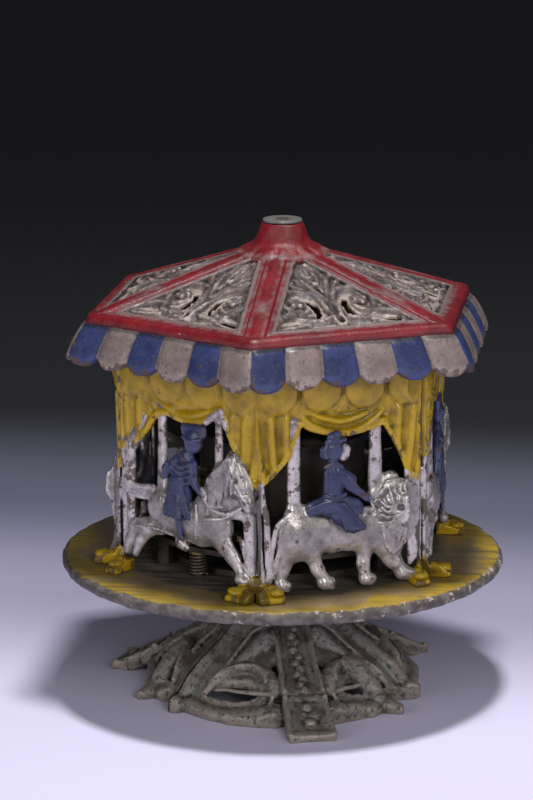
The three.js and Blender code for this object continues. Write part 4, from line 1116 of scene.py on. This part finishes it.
def roof_rib():
    """The flat band down one corner of the roof, from the knob to the eave, at azimuth 0."""
    profile = RIB_HALF + [(-a, b) for a, b in RIB_HALF[-2::-1]]
    sections, rubbed = [], []
    for r in np.linspace(9.6, EAVE_CORNER_R - 0.9, 60):
        z = roof_height(r * FLAT_OUT)
        fade = 0.2 * step_up(r, 46, 49)
        sections.append([(a, -r, z + b - 0.5 * SLOPE * abs(a) - fade) for a, b in profile])
        worn = 0.4 * math.exp(-((r - 34) / 5) ** 2)
        rubbed += [0.24 + 0.3 * (1.4 < abs(a) < 2.2) + worn * (abs(a) < 1) for a, _ in profile]
    rubbed = [0.2] * len(profile) + rubbed + [0.2] * len(profile)
    points, quads = sweep(sections)
    points += 0.07 * unevenness(points, 2.6, 22)
    return points, quads, {"rubbed": rubbed, "red": np.ones(len(points))}


# The eave band's section: (out from the axis, over the roof's face).
EAVE_PROFILE = [(41.4, -1.2), (41.5, 0.2), (41.75, 0.4), (42.3, 0.46), (43.0, 0.42), (43.45, 0.2),
                (43.7, -0.3), (43.95, -1.1), (43.8, -1.4), (42.4, -1.9)]


def roof_eave():
    """The red band round the eave: one profile carried round the hexagon."""
    per_side = 48
    points, rubbed = [], []
    for azimuth in PANEL_AZIMUTHS:
        for i in range(per_side):
            t = (i + 0.5) / per_side * 2 - 1
            ring = [(t * out * SPREAD, -out, roof_height(out) + up) for out, up in EAVE_PROFILE]
            points.append(turn(ring, azimuth))
            rubbed += [0.42 if out < 41.9 else 0.26 for out, _ in EAVE_PROFILE]
    points = np.concatenate(points)
    points += 0.09 * unevenness(points, 2.8, 25)
    rings = per_side * SIDES
    quads = ring_quads(rings, rings, len(EAVE_PROFILE))
    return points, quads[:, ::-1], {"rubbed": rubbed, "red": np.ones(len(points))}


# The knob's section: (radius, height).
KNOB = [(3.7, TOP - 0.9), (3.7, 107.0), (9.4, 107.0), (10.9, 109.6), (10.7, 110.5), (10.0, 111.1),
        (9.0, 111.7), (7.8, 112.6), (6.8, 113.6), (6.2, 114.8), (5.7, 116.2), (5.3, 117.3),
        (4.95, TOP - 0.95)]


def roof_knob():
    """The knob over the roof's middle, with a ring of small leaves at its foot."""
    points, quads = lathe(curve(KNOB, 4), 144)
    radius = np.hypot(points[:, 0], points[:, 1])
    azimuth = np.arctan2(points[:, 0], -points[:, 1])
    outer = (points[:, 2] < TOP - 1.2) & (points[:, 2] > 109.5)
    leaf = np.abs(np.sin(azimuth * 6 + 0.5 * np.sin(azimuth * 7))) * step_up(radius, 7.0, 9.0)
    points[:, 2] += outer * 0.3 * (leaf - 0.4)
    points[:, :2] *= (1 + outer * 0.05 * leaf)[:, None]
    points += outer[:, None] * 0.22 * unevenness(points, 3, 10)
    rubbed = 0.24 + 0.3 * step_up(radius, 8.5, 10)
    return points, quads, {"rubbed": rubbed, "red": np.ones(len(points))}


def valance_place(t):
    """Out from the axis, height and outward lean of the valance's face, t mm down its curve."""
    share = t / VALANCE_SLANT
    out = EAVE_APOTHEM + 0.3 + VALANCE_FLARE * (1.5 * share - 0.5 * share ** 2)
    lean = np.arctan2(VALANCE_FLARE * (1.5 - share), VALANCE_DROP)
    return out, EAVE_Z - 0.7 - VALANCE_DROP * share, lean


def tab_place(x, half):
    """Which tab of a valance side a place is in, and where across it, from -0.5 to 0.5."""
    across = (x / half + 1) * TABS / 2
    tab = np.floor(np.clip(across, 0, TABS - 0.001))
    return tab, across - tab - 0.5


def valance_side():
    """Points, quads and marks of one side of the valance: round-ended tabs, at azimuth 0."""
    clay = Clay((-29, -0.6, -2.4), (29, VALANCE_SLANT + 0.9, 1.4), VALANCE_STEP, ["silver"])
    cuts, (x, t, h) = clay.everywhere()
    half = valance_place(t)[0] * SPREAD
    _, part = tab_place(x, half)
    tip = VALANCE_SLANT + 0.3 - 2.8 * np.abs(2 * part) ** 2.6
    puff = 0.8 * np.clip(1.02 - np.abs(2 * part) ** 3.4, 0, 1) ** 0.6 * step_up(t, 0.3, 2.4) - 0.3
    front = h - puff
    solid = np.maximum(np.maximum(front, -1.5 - h), (t - tip) * 0.6)
    solid = np.maximum(np.maximum(solid, -0.4 - t), (np.abs(x) - half) * 0.85 + 0.03)
    clay.merge("silver", cuts, solid.astype(np.float32), 0)
    field = blur(clay.whole(), 1, 1)
    place, quads = skin(field)
    x, t, h = (clay.low + place * clay.step).T
    out, up, lean = valance_place(t)
    tab, part = tab_place(x, out * SPREAD)
    blue = (tab % 2 == 0) * step_up(0.5 - np.abs(part), 0.0, 0.06)
    rubbed_tip = 0.5 * step_up(t, VALANCE_SLANT - 3.5, VALANCE_SLANT - 0.5)
    # painted shadow of the eave along the valance's top; the tab tips are marked as ridges, paler where
    # rubbed and with a painted highlight
    hollow = hollowness(field, place, 3) - rubbed_tip + 0.9 * step_up(2.6 - t, 0, 1.8)
    marks = {"blue": blue, "red": step_up(1.4 - t, 0, 1.2), "hollow": hollow}
    points = np.stack([x, -(out + h * np.cos(lean)), up + h * np.sin(lean)], axis=1)
    points += 0.12 * unevenness(points, 3, 13)
    return points, quads, marks


def add_roof():
    """Panels, ribs and valance on six sides, the eave band, the knob and the disc on top."""
    shapes = [("roof_panel", roof_panel(), "roof", "silver_paint", 0),
              ("roof_rib", roof_rib(), "roof", "red_paint", 180 / SIDES),
              ("valance", valance_side(), "valance", "blue_paint", 0)]
    for name, (points, quads, marks), finish, slot, shift in shapes:
        for number, azimuth in enumerate(PANEL_AZIMUTHS, 1):
            add_mesh(f"{name}_{number}", turn(points, azimuth + shift), quads, MATERIALS[finish],
                     "carousel", ["roof"], marks)
    for name, (points, quads, marks) in (("roof_eave", roof_eave()), ("roof_knob", roof_knob())):
        add_mesh(name, points, quads, MATERIALS["roof"], "carousel", ["roof"], marks)
    add_top_cap()


def add_top_cap():
    """The fixed disc in the middle of the knob."""
    cap = [(1.65, TOP - 0.75), (CAP_R - 0.1, TOP - 0.75), (CAP_R, TOP - 0.5), (CAP_R - 0.15, TOP - 0.12),
           (CAP_R - 0.6, TOP), (3.4, TOP - 0.08), (2.2, TOP - 0.16), (1.65, TOP - 0.1)]
    points, quads = lathe(cap, 96)
    add_mesh("top_cap_disc", points, quads, MATERIALS["cap"], "pedestal", ["top_cap"])


# ---- Platform ----
def add_platform():
    """The turned disc with its worn, uneven rim."""
    low, high = PLATFORM_BOTTOM, PLATFORM_TOP
    edge = [(5.1, high), (5.1, low), (30.0, low), (52.6, low), (53.8, low + 0.25), (54.5, low + 0.9),
            (54.85, low + 1.7), (54.8, low + 2.4), (54.4, high - 0.45), (53.6, high - 0.05),
            (52.2, high + 0.05), (50.4, high - 0.02), (30.0, high)]
    points, quads = lathe(edge, 400)
    rim = step_up(np.hypot(points[:, 0], points[:, 1]), 50, 53)[:, None]
    points += rim * 0.22 * unevenness(points, (2.2, 2.2, 3.0), 16)
    add_mesh("platform_disc", points, quads, MATERIALS["platform"], "carousel", ["platform"])


def add_governor_spring():
    """The governor's spring: a round wire wound closely about its arbor."""
    low, high = box_mm("governor_spring")
    x, y = (low + high)[:2] / 2
    wire, turns, per_turn, round_wire = 0.36, 6, 40, 10
    radius = (high[0] - low[0]) / 2 - wire
    pitch = (high[2] - low[2] - 2 * wire) / turns
    sections = []
    for t in np.arange(turns * per_turn + 1) / per_turn:
        a = 2 * math.pi * t
        centre = np.array([x + radius * math.cos(a), y + radius * math.sin(a), low[2] + wire + pitch * t])
        outward = np.array([math.cos(a), math.sin(a), 0])
        ring = [centre + wire * (math.cos(b) * outward + math.sin(b) * np.array([0, 0, 1]))
                for b in np.arange(round_wire) * 2 * math.pi / round_wire]
        sections.append(ring)
    points, quads = sweep(sections)
    add_mesh("governor_coil", points, quads[:, ::-1], MATERIALS["spring"], "governor", ["governor_spring"])


# ---- Pedestal ----
# Heights down a foot strap and down the web between straps: (out, height).
STRAP_TOP = [(8, 28.4), (10, 24.4), (12.5, 21.2), (16, 18), (21, 14), (25, 11.7), (29.2, 9.6), (33.4, 7.4),
             (39, 4.4), (43.2, 2.5), (45, 1.9)]
WEB_TOP = [(2, 31), (7.8, 31), (8.2, 28), (10, 23.6), (12.5, 20.2), (15, 17.6), (18.5, 14.4), (23, 11.4),
           (27.7, 8.2), (30.8, 4.8), (32, 3), (33, 0.4)]
# The web's outer edge: degrees from a foot strap, and how far out it reaches.
WEB_REACH = [(-60, 36.5), (-50, 35), (-9, 34.8), (9, 34.4), (27, 34.2), (34, 36), (40, 39.2), (45, 36),
             (50, 30.8), (55, 32.6), (60, 36.5)]


def foot_strap(side, out, z):
    """Distances to a foot strap with thin raised borders and a plate at its foot."""
    top = look_up(out, STRAP_TOP)
    half = 4.6 + (out - 13) * 1.3 / 31
    rise = 0.75 * step_up(side, half - 1.3, half - 1.0) - 0.3 * step_up(side, half - 0.3, half)
    groove = 0.9 * np.exp(-((out - 31.7) / 0.4) ** 2)
    end_line = 0.5 * step_up(out, 42.8, 43.2)
    cross_line = 0.5 * (step_up(out, 32.3, 32.6) - step_up(out, 33.4, 33.8))
    inner_line = 0.45 * np.exp(-((side - half + 2.4) / 0.3) ** 2)
    top = top - 0.7 + rise + (end_line + cross_line) + inner_line - groove
    body = np.maximum((z - top) * 0.85, (top - STRAP_THICK - z) * 0.85)
    body = np.maximum(body, side - half)
    return np.maximum(np.maximum(body, np.maximum(out - 44.8, 7.5 - out)), -z)


# Strands on the web, as (side, out) beside a strap: end radii, height over the web and blend.
WEB_STRANDS = [
    ([(5.6, 14.4), (10.0, 15.8), (16.0, 17.6)], 2.6, 0.6, -0.6, 0.7),
    ([(5.4, 13.2), (8.2, 12.6), (11.0, 13.4), (16.6, 17.6)], 0.6, 0.45, 1.1, 0.3),
    ([(6.6, 28.0), (7.4, 24.4), (10.4, 21.2), (15.6, 19.4), (22.4, 20.2)], 2.0, 0.9, 0.1, 0.6),
    ([(8.6, 27.0), (9.0, 24.2), (11.6, 21.6), (16.6, 20.0), (21.4, 20.4)], 0.55, 0.4, 2.1, 0.2),
    ([(5.6, 31.4), (10.6, 30.4), (16.4, 28.1), (22.0, 24.2), (27.2, 17.8)], 1.6, 1.5, 0.1, 1.0),
    ([(6.4, 29.6), (9.6, 28.3), (14.6, 26.0), (20.4, 22.4)], 0.7, 0.5, 1.3, 0.3),
    ([(6.4, 31.4), (8.4, 33.0), (10.4, 32.6)], 2.3, 1.6, 0.3, 0.5),
    ([(7.0, 29.8), (9.4, 31.4), (11.4, 31.0)], 0.6, 0.5, 2.0, 0.2),
    ([(9.6, 32.0), (13.6, 30.8), (18.6, 28.0)], 1.1, 1.5, -0.4, 0.8),
    ([(13.4, 30.2), (15.8, 30.4), (18.0, 28.8)], 1.5, 1.0, 0.3, 0.4),
]
# Holes in the web: (side, out), and end radii.
WEB_HOLES = [
    ([(4.6, 20.8), (6.0, 22.8), (7.0, 23.8)], 1.0, 1.2),
    ([(11.4, 26.4), (16.6, 24.2), (21.6, 20.4)], 0.9, 0.9),
    ([(13.0, 25.4), (18.6, 22.4)], 1.7, 1.5),
]
# The ridge midway between two straps, its foot, and a leaf whose tip reaches the ground: (degrees, out).
BETWEEN_RIDGE = [(60, 9), (60, 14), (60, 20), (60, 26), (60, 31), (60, 34.6)]
RIDGE_FOOT = [(60, 34), (59, 34.4)]
LEAF_TIP = [(33, 25), (36, 30), (39, 34), (41, 37.6)]
LEAF_VEIN = [(30, 24), (35, 29), (38, 33), (40.4, 36.4)]


HUB_R, HUB_LOW, HUB_HIGH = 8, 16.5, 31
WEB_R = 33.2                                # the web ends here, apart from its strands
WEB_THICK = 2.3
STRAP_THICK = 4.2
BEADS, BEAD_R = 11, 1.05                    # beads down a foot strap, in a zigzag
BEAD_START, BEAD_PITCH, BEAD_SWAY = 14.2, 1.62, 0.4
# Beads on the plate at a strap's foot: (across, out, radius).
FOOT_BEADS = [(0.0, 35.6, 1.3), (1.2, 37.6, 1.1), (-1.2, 38.0, 1.1), (0.0, 40.2, 1.6)]
# The grid of one third of the pedestal: cells round it, and its step outward and upward.
CELLS = 128
STEP = 0.455
RADII = np.arange(2.62, 46.4, STEP)
HEIGHTS = np.arange(-0.4, 31.6, STEP)


def third_angle(cell):
    """Radians from a third's middle to a place given in cells."""
    return ((cell + 0.5) / CELLS - 0.5) * 2 * math.pi / 3


def polar(places):
    """(Side, out) of places given as (degrees, out)."""
    return [(out * math.sin(math.radians(a)), out * math.cos(math.radians(a))) for a, out in places]


def near(value, a, b):
    """Which values are within 4 mm of the stretch from a to b."""
    return (value > min(a, b) - 4) & (value < max(a, b) + 4)


class Third:
    """Signed distances to one third of the pedestal, on a polar grid with a foot strap in its middle."""

    def __init__(self):
        angle, self.r, self.z = np.meshgrid(third_angle(np.arange(CELLS)), RADII, HEIGHTS, indexing="ij")
        self.signed, self.out = self.r * np.sin(angle), self.r * np.cos(angle)
        self.side = np.abs(self.signed)
        web = look_up(self.r, WEB_TOP)
        shell = np.maximum((self.z - web) * 0.75, (web - WEB_THICK - self.z) * 0.75)
        hub = np.maximum(self.r - HUB_R, np.maximum(self.z - HUB_HIGH, HUB_LOW - self.z))
        self.field = soft_min(np.maximum(shell, self.r - WEB_R), hub, 0.8)

    def chain(self, across, points, r0, r1, lift=0.0, blend=0.7, add=True):
        """Adds a strand along the web, lift above it, or carves a hole as deep as the web."""
        path = curve(points, 5)
        sizes = np.linspace(r0, r1, len(path))
        level = look_up(np.hypot(path[:, 0], path[:, 1]), WEB_TOP) + lift
        places = np.column_stack([path, np.maximum(level, sizes * 0.9)])
        for a, b, size, growth in zip(places, places[1:], sizes, np.diff(sizes)):
            box = near(across, a[0], b[0]) & near(self.out, a[1], b[1])
            p, q, h = across[box] - a[0], self.out[box] - a[1], self.z[box] - a[2]
            h = h if add else h * 0.12
            way = b - a
            t = np.clip((p * way[0] + q * way[1] + h * way[2]) / max(way @ way, 1e-6), 0, 1)
            d = np.sqrt((p - t * way[0]) ** 2 + (q - t * way[1]) ** 2 + (h - t * way[2]) ** 2)
            d -= size + t * growth
            old = self.field[box]
            self.field[box] = soft_min(old, d, blend) if add else -soft_min(-old, d, 0.5)


def press_web(third):
    """The web's holes, strands, ridge and leaf, and its outer edge."""
    for points, r0, r1 in WEB_HOLES:
        third.chain(third.side, points, r0, r1, add=False)
    for points, *shape in WEB_STRANDS:
        third.chain(third.side, points, *shape)
    third.chain(third.side, polar(BETWEEN_RIDGE), 1.5, 1.9, 0.2)
    third.chain(third.side, polar(RIDGE_FOOT), 2.2, 2.0, 0.6)
    third.chain(third.signed, polar(LEAF_TIP), 2.8, 1.3, 0.4)
    reach = look_up(np.degrees(third_angle(np.arange(CELLS))), WEB_REACH)[:, None, None]
    third.field = np.maximum(third.field, (third.r - reach) * 0.8)
    third.chain(third.signed, polar(LEAF_VEIN), 0.6, 0.45, 2.2, 0.2)


def press_strap(third):
    """The foot strap and the beads down it."""
    third.field = soft_min(third.field, foot_strap(third.side, third.out, third.z), 0.4)
    beads = [(BEAD_SWAY * (-1) ** i, BEAD_START + BEAD_PITCH * i, BEAD_R) for i in range(BEADS)]
    for across, away, size in beads + FOOT_BEADS:
        level = look_up(away, STRAP_TOP) - 0.9
        d = np.sqrt((third.signed - across) ** 2 + (third.out - away) ** 2 + (third.z - level) ** 2) - size
        third.field = soft_min(third.field, d, 0.25)


def pedestal():
    """Points, quads and marks of the pedestal: one third is modelled and repeated."""
    third = Third()
    press_web(third)
    press_strap(third)
    field = np.maximum(third.field, -third.z)
    full = np.concatenate([field] * 3 + [field[:1]], axis=0).astype(np.float32)
    full[:, [0, -1]] = np.maximum(full[:, [0, -1]], 0.1)
    full[:, :, [0, -1]] = np.maximum(full[:, :, [0, -1]], 0.1)
    place, quads = skin(full)
    marks = {"hollow": 0.8 * hollowness(full, place, 2) + 0.6 * hollowness(full, place, 6)}
    angle = third_angle(place[:, 0])
    r = RADII[0] + place[:, 1] * STEP
    z = np.maximum(HEIGHTS[0] + place[:, 2] * STEP, 0)
    return np.stack([r * np.sin(angle), -r * np.cos(angle), z], axis=1), quads, marks


def add_pedestal():
    points, quads, marks = pedestal()
    points = turn(points, PEDESTAL_TURN)
    points += 0.16 * step_up(points[:, 2], 0.2, 1.5)[:, None] * unevenness(points, 2.4, 19)
    add_mesh("pedestal_casting", points, quads, MATERIALS["iron"], "pedestal", ["pedestal"],
             marks)


# ---- Stage ----
FLOOR_SHADE = (0.75, 0.71, 0.93)
# Painted fall-off of light, where the floor darkens with depth: from, to, and the shade it reaches.
FLOOR_LIGHT_FALLOFF = [(-30, 72, (0.4, 0.375, 0.53)), (72, 172, (0.15, 0.15, 0.215)),
              (172, 290, (0.02, 0.02, 0.024)), (420, 760, (0.008, 0.007, 0.009))]
# The camera: degrees round and up, distance in metres, what it turns to, lens in mm and shifts.
CAMERA_AZIMUTH = 7.9
CAMERA_ELEVATION = 14.64
CAMERA_DISTANCE = 0.7115
CAMERA_TARGET = (0, 0, 0.0571)
CAMERA_LENS = 129.1
CAMERA_SHIFT = (-0.0199, 0.0796)
# Area lights that all turn to the toy's middle: place, size and power.
LIGHT_TARGET = (0, 0, 0.06)
LIGHTS = {
    "key": ((0.04, -0.08, 0.62), 0.07, 3.2),
    "right_fill": ((0.32, -0.66, 0.34), 0.32, 2.3),
    "left_fill": ((-0.5, -0.7, 0.25), 0.5, 2.1),
    "side_fill": ((0.75, -0.2, 0.3), 0.5, 0.8),
}
WORLD_COLOUR = (0.5, 0.52, 0.6, 1)
WORLD_STRENGTH = 0.1


def add_floor():
    """A pale floor with a painted fall-off of light, darkening away behind the toy."""
    bpy.ops.mesh.primitive_circle_add(vertices=96, radius=4, fill_type="NGON")
    floor = bpy.context.object
    floor.name = "floor"
    paint = Paint("pale_floor")
    depth = paint.node("ShaderNodeSeparateXYZ", Vector=paint.place).outputs[1]
    colour = FLOOR_SHADE
    for start, end, shade in FLOOR_LIGHT_FALLOFF:
        colour = paint.mix(paint.ramp(depth, start, end), colour, shade)
    floor.data.materials.append(paint.finish(colour, 0.6))


def aim(thing, place, way):
    """Puts a lamp or camera at a place, facing along way."""
    thing.location = place
    thing.rotation_euler = way.to_track_quat("-Z", "Y").to_euler()
    bpy.context.scene.collection.objects.link(thing)


def add_light(name, place, size, power):
    light = bpy.data.lights.new(name, "AREA")
    light.size = size
    light.energy = power
    aim(bpy.data.objects.new(name, light), place, Vector(LIGHT_TARGET) - Vector(place))


def add_camera():
    camera = bpy.data.cameras.new("camera")
    camera.lens = CAMERA_LENS
    camera.sensor_width = 36
    camera.shift_x, camera.shift_y = CAMERA_SHIFT
    azimuth, elevation = math.radians(CAMERA_AZIMUTH), math.radians(CAMERA_ELEVATION)
    away = Vector((math.sin(azimuth) * math.cos(elevation), -math.cos(azimuth) * math.cos(elevation),
                   math.sin(elevation)))
    eye = bpy.data.objects.new("camera", camera)
    aim(eye, Vector(CAMERA_TARGET) + away * CAMERA_DISTANCE, -away)
    bpy.context.scene.camera = eye


def add_stage():
    """Floor, lights and a dim blue surround."""
    add_floor()
    for name, (place, size, power) in LIGHTS.items():
        add_light(name, place, size, power)
    world = bpy.data.worlds.new("world")
    world.use_nodes = True
    background = world.node_tree.nodes["Background"]
    background.inputs[0].default_value = WORLD_COLOUR
    background.inputs[1].default_value = WORLD_STRENGTH
    bpy.context.scene.world = world
    bpy.context.scene.view_settings.view_transform = "Standard"


add_camera()
finish_cad_nodes()
add_pedestal()
add_platform()
add_wall_panels()
add_rivets()
add_governor_spring()
add_roof()
add_stage()
